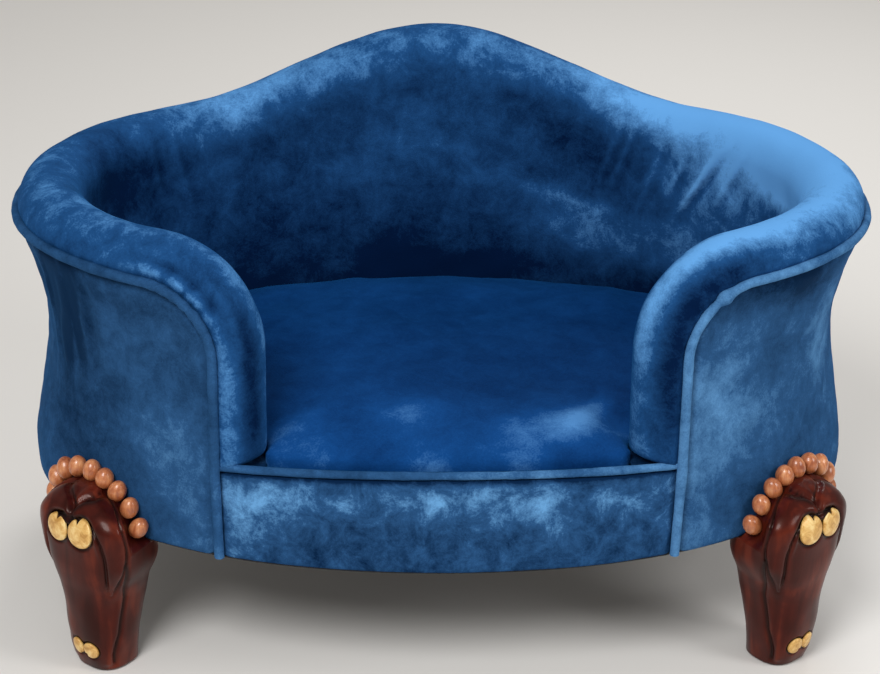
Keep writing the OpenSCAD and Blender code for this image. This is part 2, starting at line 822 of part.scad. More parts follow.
// Right half of the cushion's edge: along the wall, round the end of the roll, along the apron
right_edge = concat(
    [for (i = [0:13]) at(i*arm_angle/14, -cushion_reach)],
    [for (i = [0:6]) let(a = 180 - 15*i, r = roll_r + cushion_gap)
        at(arm_angle, -roll_in) + r*(cos(a)*normal(arm_angle) + sin(a)*forward(arm_angle))],
    [for (i = [0:5]) let(t = cushion_front_angle + i*(180 - cushion_front_angle)/5)
        at(t, skin(t, apron_z) - apron_hook_in - fit)]);
edge = concat(right_edge, [for (i = [len(right_edge) - 2:-1:1]) [-right_edge[i].x, right_edge[i].y]]);
cushion_half_w = max([for (p = edge) p.x]);
cushion_back_y = edge[0].y;
cushion_front_y = right_edge[len(right_edge) - 1].y;
cushion_mid_y = (cushion_back_y + cushion_front_y)/2;
cushion_half_d = (cushion_back_y - cushion_front_y)/2;

// Rows of the cushion: inset of the edge as a share of half its depth, height over its underside as
// a share of its side, and height over its side as a share of its crown
cushion_shares = [
    [0.03, 0, 0], [0, 0.2, 0], [0, 0.8, 0], [0.02, 1, 0],
    [0.22, 1, 0.62], [0.5, 1, 0.9], [0.8, 1, 1]];

module cushion_solid(skin_t) {
    loft([for (row = cushion_shares) let(
        inset = row[0]*cushion_half_d + skin_t,
        z = cushion_z + row[1]*cushion_side_h + row[2]*cushion_crown_h,
        lift = row[1] > 0 || row[2] > 0 ? -skin_t*row[1] : skin_t)
        [for (i = [len(edge) - 1:-1:0]) [
            edge[i].x*(1 - inset/cushion_half_w),
            cushion_mid_y + (edge[i].y - cushion_mid_y)*(1 - inset/cushion_half_d),
            z + lift]]]);
}

zip_share = 0.6;
zip_y = cushion_mid_y + zip_share*cushion_half_d;
zip_slider_length = 14;
zip_slider_h = 3;
zip_tape_t = 1;
zip_slider_z = cushion_z + fit;
zip_tape_z = zip_slider_z + zip_slider_h + fit;

module zip_box(w, d, z, h) {
    translate([-w/2, zip_y - d/2, z])
        cube([w, d, h]);
}

module cushion_foam() {
    color("lightyellow")
        difference() {
            cushion_solid(layer);
            zip_box(zip_length + 2*over, zip_tape_w + 2*over, cushion_z, zip_tape_z + zip_tape_t + fit - cushion_z);
        }
}

module cushion_cover() {
    color("navy")
        difference() {
            cushion_solid(0);
            cushion_solid(velvet_t);
            zip_box(zip_length, zip_slot_w, cushion_z - over, 2*over + velvet_t);
        }
}

module zip_tape() {
    color("black")
        zip_box(zip_length - 2*fit, zip_tape_w, zip_tape_z, zip_tape_t);
}

module zip_slider() {
    color("silver")
        translate([(zip_slider_length - zip_length)/2 + over, 0, 0])
            zip_box(zip_slider_length, zip_slot_w - 4*fit, zip_slider_z, zip_slider_h);
}

base_board();
deck_board();
left_floor_rail();
centre_floor_rail();
right_floor_rail();
front_left_block();
front_right_block();
rear_left_block();
rear_right_block();
front_board();
back_rib();
rear_left_rib();
rear_right_rib();
side_left_rib();
side_right_rib();
arm_left_rib();
arm_right_rib();
left_arm_post();
right_arm_post();
top_rail();
inner_panel();
left_outer_panel();
back_outer_panel();
right_outer_panel();
left_wall_foam();
back_wall_foam();
right_wall_foam();
left_roll_foam();
back_roll_foam();
right_roll_foam();
apron_pad();
inside_cover();
roll_cover();
outside_cover();
apron_cover();
roll_piping();
apron_piping();
dust_cover();
staples();
front_left_leg();
front_right_leg();
rear_left_leg();
rear_right_leg();
front_left_beads();
front_right_beads();
rear_left_beads();
rear_right_beads();
front_left_inlays();
front_right_inlays();
rear_left_inlays();
rear_right_inlays();
leg_bolts();
glides();
cushion_foam();
cushion_cover();
zip_tape();
zip_slider();
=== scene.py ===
# %% [markdown]
# # A velvet sofa bed for a dog
# A small oval tub of board and bent panel, padded with foam and covered in crushed blue velvet. A thick
# roll runs all round the rim, humps up behind and turns down in front at both arms, and four carved
# legs with wooden beads carry it. This notebook dresses the solid model of its frame: it makes the
# fabric, the welts, the cushion, the carved legs with their beads and gold inlays, and all finishes.

# %% Loading the frame
import json
import math
import bmesh
import bpy
import numpy as np
from mathutils import Matrix, Vector


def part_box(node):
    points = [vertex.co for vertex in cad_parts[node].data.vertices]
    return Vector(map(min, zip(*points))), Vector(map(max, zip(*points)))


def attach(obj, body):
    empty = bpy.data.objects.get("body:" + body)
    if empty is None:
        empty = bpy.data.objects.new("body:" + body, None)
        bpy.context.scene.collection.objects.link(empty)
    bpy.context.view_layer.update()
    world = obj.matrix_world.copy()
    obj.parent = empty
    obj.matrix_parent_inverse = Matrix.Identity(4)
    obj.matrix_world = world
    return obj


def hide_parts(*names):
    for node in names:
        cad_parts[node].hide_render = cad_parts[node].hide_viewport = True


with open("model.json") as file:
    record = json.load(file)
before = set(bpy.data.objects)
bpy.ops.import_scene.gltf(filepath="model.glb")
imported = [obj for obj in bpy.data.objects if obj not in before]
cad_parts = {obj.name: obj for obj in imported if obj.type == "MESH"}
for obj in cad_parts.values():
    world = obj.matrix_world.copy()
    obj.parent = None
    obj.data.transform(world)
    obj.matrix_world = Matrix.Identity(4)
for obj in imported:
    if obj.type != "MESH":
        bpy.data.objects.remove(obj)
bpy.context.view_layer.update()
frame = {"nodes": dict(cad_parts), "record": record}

# %% [markdown]
# ## The plan curve
# Every layer of the wall follows one closed curve, seen from above: nearly an ellipse, a little
# squarer. A place on it is an angle, 0 at the middle of the back, 90 at the right side and 180 at the
# middle of the front, and a distance outwards from it. An upholsterer would cut all panels from it,
# so the fabric here is laid on the same curve as the frame.

# %% The plan curve and the roll's path, in metres
PLAN_WIDTH, PLAN_DEPTH, PLAN_POWER = 0.744, 0.482, 2.1
BODY_Z, RIM_Z, HUMP, HUMP_HALF = 0.126, 0.376, 0.064, 0.245
ROLL_R, ROLL_IN, TURN_R = 0.030, 0.024, 0.063
WAIST_IN, BROW_OUT, BROW_WIDTH, TUCK_IN = 0.018, 0.005, 0.046, 0.002
APRON_H, APRON_BACK, APRON_WELT_R, WELT_R = 0.085, 0.013, 0.0035, 0.0042
VELVET, FIT, ARM_ANGLE = 0.0015, 0.0003, 150
DUST_CLOTH, BOARD, RAIL, WELT_BEARING = 0.001, 0.012, 0.033, math.radians(5)
PLAN_Y = -(ROLL_R - ROLL_IN)/2
APRON_Z = BODY_Z + APRON_H
SEAT_Z = BODY_Z + DUST_CLOTH + BOARD + RAIL + BOARD
BELLY_Z = BODY_Z + 0.08*(RIM_Z - BODY_Z)
ARM_TURN_Z = RIM_Z - TURN_R
ARM_END_Z = APRON_Z + 2*APRON_WELT_R + FIT
WELT_REACH = ROLL_R - VELVET/2 + FIT
WELT_DROP = WELT_REACH*math.sin(WELT_BEARING)
COVER_DROP = WELT_DROP + WELT_R + FIT


def power(value, exponent):
    return np.sign(value)*np.abs(value)**exponent


def ease(value):
    return (1 - np.cos(np.pi*np.clip(value, 0, 1)))/2


def bell(distance, width):
    """1 at a place, fading smoothly to 0 about two widths away from it"""
    return np.exp(-(distance/width)**2)


def distances(points):
    """Distance along a line of points, from its first one"""
    return np.concatenate([[0], np.cumsum(np.linalg.norm(np.diff(points, axis=0), axis=1))])


def plan_point(t):
    a = np.radians(t)
    return np.stack([PLAN_WIDTH/2*power(np.sin(a), 2/PLAN_POWER),
                     PLAN_DEPTH/2*power(np.cos(a), 2/PLAN_POWER) + PLAN_Y], -1)


def plan_normal(t):
    a, e = np.radians(t), 2 - 2/PLAN_POWER
    n = np.stack([power(np.sin(a), e)/(PLAN_WIDTH/2), power(np.cos(a), e)/(PLAN_DEPTH/2)], -1)
    return n/np.linalg.norm(n, axis=-1, keepdims=True)


def plan_at(t, outwards):
    return plan_point(t) + np.asarray(outwards)[..., None]*plan_normal(t)


def plan_forward(t):
    n = plan_normal(t)
    return np.sign(t)[..., None]*np.stack([n[..., 1], -n[..., 0]], -1)


def lift(xy, z):
    return np.concatenate([xy, np.broadcast_to(np.asarray(z, float), xy.shape[:-1])[..., None]], -1)


DEG_PER_M = 1/np.linalg.norm(plan_at(np.array(150.0), -ROLL_IN) - plan_at(np.array(149.0), -ROLL_IN))
TURN_START = ARM_ANGLE - TURN_R*DEG_PER_M
SEAM_ANGLE = ARM_ANGLE - WELT_DROP*DEG_PER_M


def rim_height(t):
    x = np.abs(plan_at(t, -ROLL_IN)[..., 0])
    hump = HUMP*np.cos(np.pi/2*x/HUMP_HALF)**2
    return RIM_Z + np.where((np.abs(t) < 90) & (x < HUMP_HALF), hump, 0)


# The roll's path: angle against distance from the middle of the back, up to where the arm turns down
table_t = np.linspace(0, TURN_START, 400)
table_points = lift(plan_at(table_t, -ROLL_IN), rim_height(table_t))
table_q = distances(table_points)
TURN_Q = table_q[-1]
DOWN_Q = TURN_Q + math.pi/2*TURN_R
END_Q = DOWN_Q + ARM_TURN_Z - ARM_END_Z


def roll_station(q):
    """Plan angle, turn of the section and height of the roll's centre line at a distance along it"""
    side, far = np.sign(q), np.abs(q)
    turn = np.clip((far - TURN_Q)/TURN_R, 0, math.pi/2)
    t = np.where(far < TURN_Q, np.interp(far, table_q, table_t),
                 ARM_ANGLE - (TURN_R - TURN_R*np.sin(turn))*DEG_PER_M)
    down = ARM_TURN_Z + TURN_R*np.cos(turn) - np.clip(far - DOWN_Q, 0, None)
    z = np.where(far < TURN_Q, rim_height(t), down)
    return np.where(side == 0, 1, side)*t, turn, z


def roll_point(q, out, up):
    """Point of the roll's section, which turns with the path"""
    t, turn, z = roll_station(q)
    xy = plan_at(t, out - ROLL_IN) + (up*np.sin(turn))[..., None]*plan_forward(t)
    return lift(xy, z + up*np.cos(turn))


# Outside profile, from the bottom edge up
share = np.array([0, .05, .1, .17, .25, .35, .45, .55, .65, .75, .85, .93, 1])
profile_z = np.concatenate([[BODY_Z, (BODY_Z + BELLY_Z)/2], BELLY_Z + share*(RIM_Z - WELT_DROP - BELLY_Z)])
profile_in = np.concatenate([[TUCK_IN, 0.3*TUCK_IN], WAIST_IN*np.sin(np.pi*share**1.2).clip(0)**1.5])


def apron_rise(z):
    return np.clip((z - BODY_Z)/APRON_H, 0, 1)


def skin(t, z):
    """How far the outside lies out of the plan curve"""
    front = math.sin(math.radians(SEAM_ANGLE))**2
    side = np.clip((np.sin(np.radians(t))**2 - front)/(1 - front), 0, None)
    along = (np.abs(t) - TURN_START)/DEG_PER_M
    gap = np.where(along < 0, rim_height(t) - z,
                   TURN_R - np.where(z > ARM_TURN_Z, np.hypot(along, z - ARM_TURN_Z), along))
    brow = ease(1 - gap/BROW_WIDTH)
    seam_x = plan_point(np.array(SEAM_ANGLE))[0]
    apron = np.where(np.abs(t) < SEAM_ANGLE, 0, 1 - (plan_point(t)[..., 0]/seam_x)**2)
    return -side*np.interp(z, profile_z, profile_in) + apron_rise(z)*(BROW_OUT*brow - APRON_BACK*apron)


def layer_top(t, drop):
    """Height where a layer of the wall ends, which follows the roll at a drop under its centre line"""
    along = (np.abs(t) - TURN_START)/DEG_PER_M
    arc = ARM_TURN_Z + np.sqrt(np.clip((TURN_R - drop)**2 - along**2, 0, None))
    return np.where(along < 0, rim_height(t) - drop, arc)


print("roll path", round(2*END_Q, 3), "m, arm turns from", round(TURN_START, 1), "degrees")

# %% [markdown]
# ## How the cloth is laid
# Each piece of fabric starts as a flat grid of small squares, like the weave itself, and a rule carries
# every corner to its place on the body. The same rule gives the direction out of the surface, so that
# puckers, pulls and the softness of the padding can be pressed into it afterwards. The grid keeps its
# own flat coordinates in metres, which the velvet's nap follows.

# %% Making pieces
def points_of(mesh):
    """The places of a mesh's corners, one row each"""
    places = np.empty(3*len(mesh.vertices), np.float32)
    mesh.vertices.foreach_get("co", places)
    return places.reshape(-1, 3)


def move_to(mesh, points):
    mesh.vertices.foreach_set("co", points.astype(np.float32).ravel())


def paint(mesh, name, values):
    """Paints a value on every corner, which a finish can read by its name"""
    layer = mesh.attributes.new(name, "FLOAT", "POINT")
    layer.data.foreach_set("value", values.astype(np.float32))


def shade_smooth(mesh):
    mesh.polygons.foreach_set("use_smooth", np.ones(len(mesh.polygons), bool))


def mesh_from(name, bm):
    mesh = bpy.data.meshes.new(name)
    bm.to_mesh(mesh)
    bm.free()
    return mesh


def linked(name, data):
    """A new object in the scene"""
    piece = bpy.data.objects.new(name, data)
    bpy.context.scene.collection.objects.link(piece)
    return piece


# %% Laying a grid, and pressing into it
def drift(points, size, seed, waves=7):
    """Smooth random swell of about -1 to 1, whose waves are about as long as size"""
    random = np.random.default_rng(seed)
    total = np.zeros(points.shape[:-1])
    for _ in range(waves):
        direction = random.normal(size=points.shape[-1])
        direction *= 2*math.pi/(size*(0.7 + 0.7*random.random()))/np.linalg.norm(direction)
        total += np.sin(points @ direction + random.random()*2*math.pi)
    return total/math.sqrt(waves/1.4)


def laid(place, u, v, press=None):
    """Points of a laid grid, pressed out along the surface's own normal"""
    points = place(u, v)
    if press is None:
        return points
    step = 1e-3
    du = place(np.clip(u + step, 0, 1), v) - place(np.clip(u - step, 0, 1), v)
    dv = place(u, np.clip(v + step, 0, 1)) - place(u, np.clip(v - step, 0, 1))
    normal = np.cross(du, dv)
    normal /= np.linalg.norm(normal, axis=1, keepdims=True) + 1e-12
    return points + normal*press(u, v, points)[:, None]


def grid_piece(name, across, along, place, press=None, size=(1, 1), joined=False, light=None):
    """A grid of squares carried to its place. size is its flat size, light the painted nap of its velvet with
    its painted light and shade
    """
    bm = bmesh.new()
    bmesh.ops.create_grid(bm, x_segments=across, y_segments=along, size=0.5, calc_uvs=False)
    mesh = mesh_from(name, bm)
    flat = points_of(mesh).astype(float)
    u, v = flat[:, 0] + 0.5, flat[:, 1] + 0.5
    points = laid(place, u, v, press)
    move_to(mesh, points)
    corner = np.empty(len(mesh.loops), np.int32)
    mesh.loops.foreach_get("vertex_index", corner)
    cloth = np.stack([u[corner]*size[0], v[corner]*size[1]], -1).astype(np.float32)
    mesh.uv_layers.new(name="Cloth").data.foreach_set("uv", cloth.ravel())
    paint(mesh, "lie", np.zeros(len(u)) if light is None else light(u, v, points))
    shade_smooth(mesh)
    mesh.update()
    if joined:
        bm = bmesh.new()
        bm.from_mesh(mesh)
        bmesh.ops.remove_doubles(bm, verts=bm.verts, dist=1e-6)
        bmesh.ops.recalc_face_normals(bm, faces=bm.faces)
        bm.to_mesh(mesh)
        bm.free()
    return linked(name, mesh)


def thicken(piece, thickness):
    """Gives a cloth its thickness, inwards"""
    solid = piece.modifiers.new("Thickness", "SOLIDIFY")
    solid.thickness = thickness
    solid.offset = -1
    solid.use_even_offset = False
    return piece


def near_line(a, b, start, end):
    """Distance from a line in the flat, and how far along it, from 0 to 1"""
    line = np.array(end, float) - start
    along = np.clip(((a - start[0])*line[0] + (b - start[1])*line[1])/(line @ line), 0, 1)
    return np.hypot(a - start[0] - along*line[0], b - start[1] - along*line[1]), along


def pulls(a, b, lines):
    """Folds along lines in the flat: start, end, width and height of each, fading at both ends"""
    total = np.zeros(len(a))
    for start, end, width, height in lines:
        gap, along = near_line(a, b, start, end)
        total += height*bell(gap, width)*np.sin(math.pi*np.clip(along, 0.03, 0.97))**0.6
    return total


def patches(a, b, spots):
    """Soft patches in the flat: place, size both ways and strength of each"""
    return sum(value*bell(a - a0, wide)*bell(b - b0, high) for a0, b0, wide, high, value in spots)


def rounding(gap, radius):
    """How far a rounded edge draws in, at a distance from where it ends"""
    return radius*(1 - np.sqrt(np.clip(1 - np.clip(1 - gap/radius, 0, 1)**2, 0, 1)))


# %% [markdown]
# ## Finishes
# Velvet changes colour with the way its nap lies: brushed one way it looks nearly navy, brushed the other
# way it shines steel blue. The finish mixes both colours with large soft patches, small crushed ones
# and fine streaks along the cloth, shifted by a value painted on each piece. That value holds the nap
# and also painted light and shade: painted highlights on the roll's top and the right side, and painted
# shade down the wall, in creases and under the welts. Sheen gives the bright edge that short fibres have.
# The other finishes are stained and varnished wood, gold paint, bare plywood, foam, non-woven cloth,
# steel and plastic.

# %% Tools for finishes
def new_finish(name, **values):
    finish = bpy.data.materials.new(name)
    finish.use_nodes = True
    shader = finish.node_tree.nodes["Principled BSDF"]
    for socket, value in values.items():
        shader.inputs[socket.replace("_", " ")].default_value = value
    return finish, shader


def add(finish, kind, values=None, **settings):
    node = finish.node_tree.nodes.new("ShaderNode" + kind)
    for name, value in settings.items():
        setattr(node, name, value)
    for socket, value in (values or {}).items():
        node.inputs[socket].default_value = value
    return node


def wire(finish, out, into):
    finish.node_tree.links.new(out, into)


def own_place(finish):
    """A point's place on the piece itself, in metres"""
    return add(finish, "TexCoord").outputs["Object"]


def painted(finish, name):
    return add(finish, "Attribute", attribute_name=name).outputs["Fac"]


def ramp(finish, source, stops, smooth=False):
    node = add(finish, "ValToRGB")
    node.color_ramp.interpolation = "EASE" if smooth else "LINEAR"
    while len(node.color_ramp.elements) < len(stops):
        node.color_ramp.elements.new(0.5)
    for element, (place, colour) in zip(node.color_ramp.elements, stops):
        element.position = place
        element.color = (*colour, 1) if hasattr(colour, "__len__") else (colour, colour, colour, 1)
    wire(finish, source, node.inputs["Fac"])
    return node.outputs["Color"]


def noise(finish, vector, scale, detail=3, rough=0.55, distort=0.0):
    node = add(finish, "TexNoise", {"Scale": scale, "Detail": detail, "Roughness": rough,
                                    "Distortion": distort})
    wire(finish, vector, node.inputs["Vector"])
    return node.outputs["Fac"]


def stretched(finish, vector, scale):
    node = add(finish, "Mapping", {"Scale": scale})
    wire(finish, vector, node.inputs["Vector"])
    return node.outputs["Vector"]


def sums(finish, *terms):
    """Weighted sum of sockets"""
    total = None
    for weight, source in terms:
        node = add(finish, "Math", {1: weight}, operation="MULTIPLY")
        wire(finish, source, node.inputs[0])
        both = add(finish, "Math", {1: 0.0}, operation="ADD")
        wire(finish, node.outputs[0], both.inputs[0])
        if total is not None:
            wire(finish, total, both.inputs[1])
        total = both.outputs[0]
    return total


def bumped(finish, shader, source, depth, strength=1.0):
    node = add(finish, "Bump", {"Strength": strength, "Distance": depth})
    wire(finish, source, node.inputs["Height"])
    wire(finish, node.outputs["Normal"], shader.inputs["Normal"])


# %% Velvet
def velvet(name, dark, middle, light, broad_part=0.70, crushed_part=0.80):
    """The colour follows a level from 0 to 1: a half, the painted nap with its painted light and shade, and
    two sizes of patches
    """
    finish, shader = new_finish(name, Roughness=0.85, Specular_IOR_Level=0.03, Sheen_Weight=0.10,
                                Sheen_Roughness=0.4, Sheen_Tint=(0.03, 0.38, 1.0, 1.0))
    place = own_place(finish)
    cloth = add(finish, "UVMap", uv_map="Cloth").outputs["UV"]
    lie = painted(finish, "lie")
    broad = noise(finish, place, 8, 3, 0.5, 0.4)
    crushed = noise(finish, place, 42, 8, 0.74, 0.35)
    streak = noise(finish, stretched(finish, cloth, (150, 30, 1)), 1.0, 4, 0.6, 0.3)
    fibre = noise(finish, place, 620, 3, 0.7)
    weights = (broad_part, crushed_part, 0.08, 0.26)
    mask = sums(finish, *zip(weights, (broad, crushed, streak, fibre)), (1.0, lie))
    level = add(finish, "Math", {1: 0.5 - 0.5*sum(weights)}, operation="ADD")
    wire(finish, mask, level.inputs[0])
    between = [0.5*(a + b) for a, b in zip(dark, middle)]
    stops = [(0.12, dark), (0.36, between), (0.56, middle), (0.92, light)]
    wire(finish, ramp(finish, level.outputs[0], stops), shader.inputs["Base Color"])
    pile = sums(finish, (0.5, crushed), (0.35, fibre), (0.15, streak))
    bumped(finish, shader, pile, 0.0012, 0.5)
    return finish


velvet_inside = velvet("velvet inside", (0.0006, 0.0090, 0.042), (0.012, 0.068, 0.205),
                       (0.120, 0.350, 0.720))
velvet_outside = velvet("velvet outside", (0.0030, 0.0170, 0.052), (0.024, 0.088, 0.220),
                        (0.110, 0.290, 0.560))
velvet_apron = velvet("velvet apron", (0.0020, 0.0150, 0.052), (0.022, 0.084, 0.215),
                      (0.130, 0.340, 0.640), crushed_part=1.5)
velvet_seat = velvet("velvet seat", (0.0004, 0.0130, 0.066), (0.005, 0.056, 0.215),
                     (0.080, 0.250, 0.560), broad_part=0.45, crushed_part=0.50)


# %% Wood, gold, foam, cloth, steel and plastic
def carved_mahogany():
    finish, shader = new_finish("carved mahogany", Roughness=0.36, Specular_IOR_Level=0.18,
                                Specular_Tint=(1.0, 0.55, 0.45, 1.0), Coat_Weight=0.14, Coat_Roughness=0.16)
    place = own_place(finish)
    hollow = painted(finish, "hollow")
    grain = noise(finish, stretched(finish, place, (70, 70, 8)), 1.0, 4, 0.5, 0.6)
    cloud = noise(finish, place, 18, 3, 0.5, 0.5)
    wood = ramp(finish, sums(finish, (0.5, grain), (0.5, cloud)),
                [(0.34, (0.022, 0.0024, 0.0015)), (0.50, (0.054, 0.0066, 0.0038)),
                 (0.66, (0.150, 0.0230, 0.0095))])
    dark = add(finish, "Mix", data_type="RGBA")
    dark.inputs[7].default_value = (0.003, 0.001, 0.001, 1)
    wire(finish, hollow, dark.inputs[0])
    wire(finish, wood, dark.inputs[6])
    wire(finish, dark.outputs[2], shader.inputs["Base Color"])
    bumped(finish, shader, sums(finish, (0.5, grain), (0.5, cloud)), 0.0008, 0.15)
    return finish


def bead_wood():
    finish, shader = new_finish("bead wood", Roughness=0.32, Coat_Weight=0.4, Coat_Roughness=0.15)
    place = own_place(finish)
    grain = noise(finish, stretched(finish, place, (240, 240, 60)), 1.0, 5, 0.6, 0.8)
    cloud = noise(finish, place, 70, 3)
    wood = ramp(finish, sums(finish, (0.5, grain), (0.5, cloud)),
                [(0.34, (0.26, 0.060, 0.020)), (0.5, (0.50, 0.165, 0.062)), (0.66, (0.74, 0.340, 0.150))])
    wire(finish, wood, shader.inputs["Base Color"])
    bumped(finish, shader, grain, 0.0003, 0.25)
    return finish


def gold_paint():
    finish, shader = new_finish("gold paint", Roughness=0.42, Metallic=0.1, Coat_Weight=0.25,
                                Coat_Roughness=0.2)
    place = own_place(finish)
    brush = noise(finish, place, 120, 4, 0.6, 0.6)
    stops = [(0.34, (0.50, 0.25, 0.05)), (0.5, (0.74, 0.44, 0.13)), (0.66, (0.88, 0.64, 0.27))]
    wire(finish, ramp(finish, brush, stops), shader.inputs["Base Color"])
    bumped(finish, shader, brush, 0.0004, 0.4)
    return finish


def bare_wood(name, dark, light, stretch, rings=60.0):
    finish, shader = new_finish(name, Roughness=0.7)
    place = own_place(finish)
    grain = noise(finish, stretched(finish, place, stretch), 1.0, 6, 0.62, 1.6)
    ply = add(finish, "TexWave", {"Scale": rings, "Distortion": 1.5, "Detail": 2.0}, bands_direction="Z")
    wire(finish, place, ply.inputs["Vector"])
    level = sums(finish, (0.8, grain), (0.18, ply.outputs["Fac"]))
    wire(finish, ramp(finish, level, [(0.3, dark), (0.7, light)]), shader.inputs["Base Color"])
    bumped(finish, shader, grain, 0.0005, 0.3)
    return finish


def speckled(name, dark, light, scale, rough, depth, **values):
    finish, shader = new_finish(name, Roughness=rough, **values)
    place = own_place(finish)
    grain = noise(finish, place, scale, 5, 0.65)
    wire(finish, ramp(finish, grain, [(0.32, dark), (0.68, light)]), shader.inputs["Base Color"])
    bumped(finish, shader, grain, depth, 0.5)
    return finish


mahogany, beads_finish, gold = carved_mahogany(), bead_wood(), gold_paint()
by_slot = {
    "plywood": bare_wood("plywood", (0.42, 0.26, 0.12), (0.66, 0.47, 0.26), (9, 60, 60), 500),
    "bent_panel": bare_wood("bent panel", (0.36, 0.22, 0.10), (0.58, 0.40, 0.22), (60, 60, 7), 20),
    "softwood": bare_wood("softwood", (0.45, 0.26, 0.11), (0.72, 0.49, 0.25), (8, 40, 40), 90),
    "foam": speckled("foam", (0.62, 0.54, 0.30), (0.86, 0.80, 0.58), 700, 0.95, 0.001),
    "velvet": velvet_outside,
    "dust_cloth": speckled("dust cloth", (0.006, 0.006, 0.007), (0.030, 0.030, 0.032), 1400, 0.95, 0.0004),
    "steel": speckled("zinc steel", (0.38, 0.38, 0.37), (0.62, 0.62, 0.60), 260, 0.36, 0.0002, Metallic=1.0),
    "carved_wood": mahogany,
    "bead_wood": beads_finish,
    "gold_inlay": gold,
    "black_plastic": speckled("black plastic", (0.008, 0.008, 0.008), (0.022, 0.022, 0.022), 500, 0.5,
                              0.0002),
    "zip_cloth": speckled("zip cloth", (0.003, 0.010, 0.040), (0.010, 0.030, 0.090), 1800, 0.85, 0.0004),
}
for part in frame["record"]["subparts"]:
    solid = frame["nodes"][part["node"]]
    if not solid.material_slots:
        solid.data.materials.append(None)
    for place in solid.material_slots:
        place.material = by_slot[part["material_slot"]]
print("finishes:", len(bpy.data.materials))


def dressed(piece, finish, slot_name, body, *nodes):
    """Gives a piece its finish, its body and the solids that it stands for; slot_name is not used"""
    piece.data.materials.append(finish)
    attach(piece, body)
    if nodes:
        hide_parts(*nodes)
    print(piece.name, len(piece.data.vertices), "points")
    return piece


# %% [markdown]
# ## The roll and the inside of the wall
# On the real sofa one length of velvet starts under the welt outside, goes over the padded roll and
# down the inside of the wall to the seat. At both arms it turns down with the roll, and the seam
# allowance puckers there. The grid's rows follow the cloth over the roll, and its columns fan out
# where the arm turns. Folds are pressed in where the velvet is strained round the back's corners.

# %% Roll and wall
ROLL_SHARE = 0.37  # of the cloth's length, from the welt over the roll to the wall
ROLL_CLOTH, WALL_CLOTH = 0.094, 0.2  # how long the cloth is over the roll, and down the wall
INSIDE_END, END_ROUND = 0.004, 0.009  # how far the roll's ends bulge out, and round off
INSIDE_Q = END_Q + INSIDE_END


def inside_place(u, v):
    q = (0.5 - u)*2*INSIDE_Q
    over = np.clip(v/ROLL_SHARE, 0, 1)
    angle = np.radians(-8 + 188*over)
    start = ease((angle + 0.14)/0.36)
    end = np.clip((np.abs(q) - INSIDE_Q + END_ROUND)/END_ROUND, 0, 1)
    close = np.sqrt(np.clip(1 - (0.93*end)**2.4, 0, 1))
    radius = ROLL_R*(0.90 + 0.10*start)
    out = radius*np.cos(angle)*np.where(np.cos(angle) < 0, 0.72 + 0.28*close, 0.95 + 0.05*close)
    up = radius*np.sin(angle)*close
    points = roll_point(np.clip(q, -END_Q, END_Q), out, up)
    t, _, z = roll_station(np.clip(q, -END_Q, END_Q))
    extra = np.clip(np.abs(q) - END_Q, 0, None)
    points[:, 2] -= extra
    down = np.clip((v - ROLL_SHARE)/(1 - ROLL_SHARE), 0, 1)
    far = np.clip((np.abs(q) - TURN_Q)/(INSIDE_Q - TURN_Q), 0, 1)
    foot_t = np.where(np.abs(q) < TURN_Q, np.abs(t), TURN_START + far*(ARM_ANGLE - TURN_START))
    wall_t = np.sign(q + 1e-9)*(np.abs(t) + down*(foot_t - np.abs(t)))
    wall_z = z - extra + down*(SEAT_Z + 0.0008 - z + extra)
    bulge = 0.004*np.sin(math.pi*np.clip((wall_z - SEAT_Z)/(RIM_Z - SEAT_Z), 0, 1))**2*ease(down*4)
    wall = lift(plan_at(wall_t, -(ROLL_IN + ROLL_R*(0.72 + 0.28*close)) - bulge), wall_z)
    return np.where((v > ROLL_SHARE)[:, None], wall, points)


def inside_flat(u, v):
    """Distance along the roll, and along the cloth from the welt, in metres"""
    on_wall = ROLL_CLOTH + (v - ROLL_SHARE)/(1 - ROLL_SHARE)*WALL_CLOTH
    return (0.5 - u)*2*INSIDE_Q, np.where(v < ROLL_SHARE, v/ROLL_SHARE*ROLL_CLOTH, on_wall)


# Folds of the wall: start and end as distance along the roll and along the cloth
fold_lines = [((-0.311, 0.078), (-0.299, 0.140)), ((-0.284, 0.074), (-0.259, 0.170)),
              ((0.222, 0.088), (0.196, 0.160)), ((0.253, 0.100), (0.231, 0.170)),
              ((0.280, 0.104), (0.261, 0.152)), ((0.318, 0.092), (0.281, 0.155)),
              ((0.330, 0.082), (0.268, 0.176)), ((0.205, 0.100), (0.186, 0.150)),
              ((0.350, 0.090), (0.318, 0.150))]
inside_folds = []
for (q0, s0), (q1, s1) in fold_lines:
    strength = 0.6 if q0 < 0 else 1.0
    inside_folds.append(((q0, s0), (q1, s1), 0.0036, -0.0020*strength))
    inside_folds.append(((q0 - 0.009, s0), (q1 - 0.009, s1), 0.0032, 0.0018*strength))
# Puckers beside the arms' welts, three on each side
for side in (-1, 1):
    for q0 in (0.686, 0.705, 0.724):
        inside_folds.append(((side*q0, 0.004), (side*(q0 + 0.004), 0.024), 0.0026, -0.0024))
# A doubled fold along the left arm's welt
inside_folds += [((-0.640, 0.013), (-0.765, 0.010), 0.0034, 0.0026),
                 ((-0.650, 0.0215), (-0.750, 0.0175), 0.0024, -0.0022),
                 ((-0.700, 0.030), (-0.770, 0.024), 0.0030, 0.0016)]
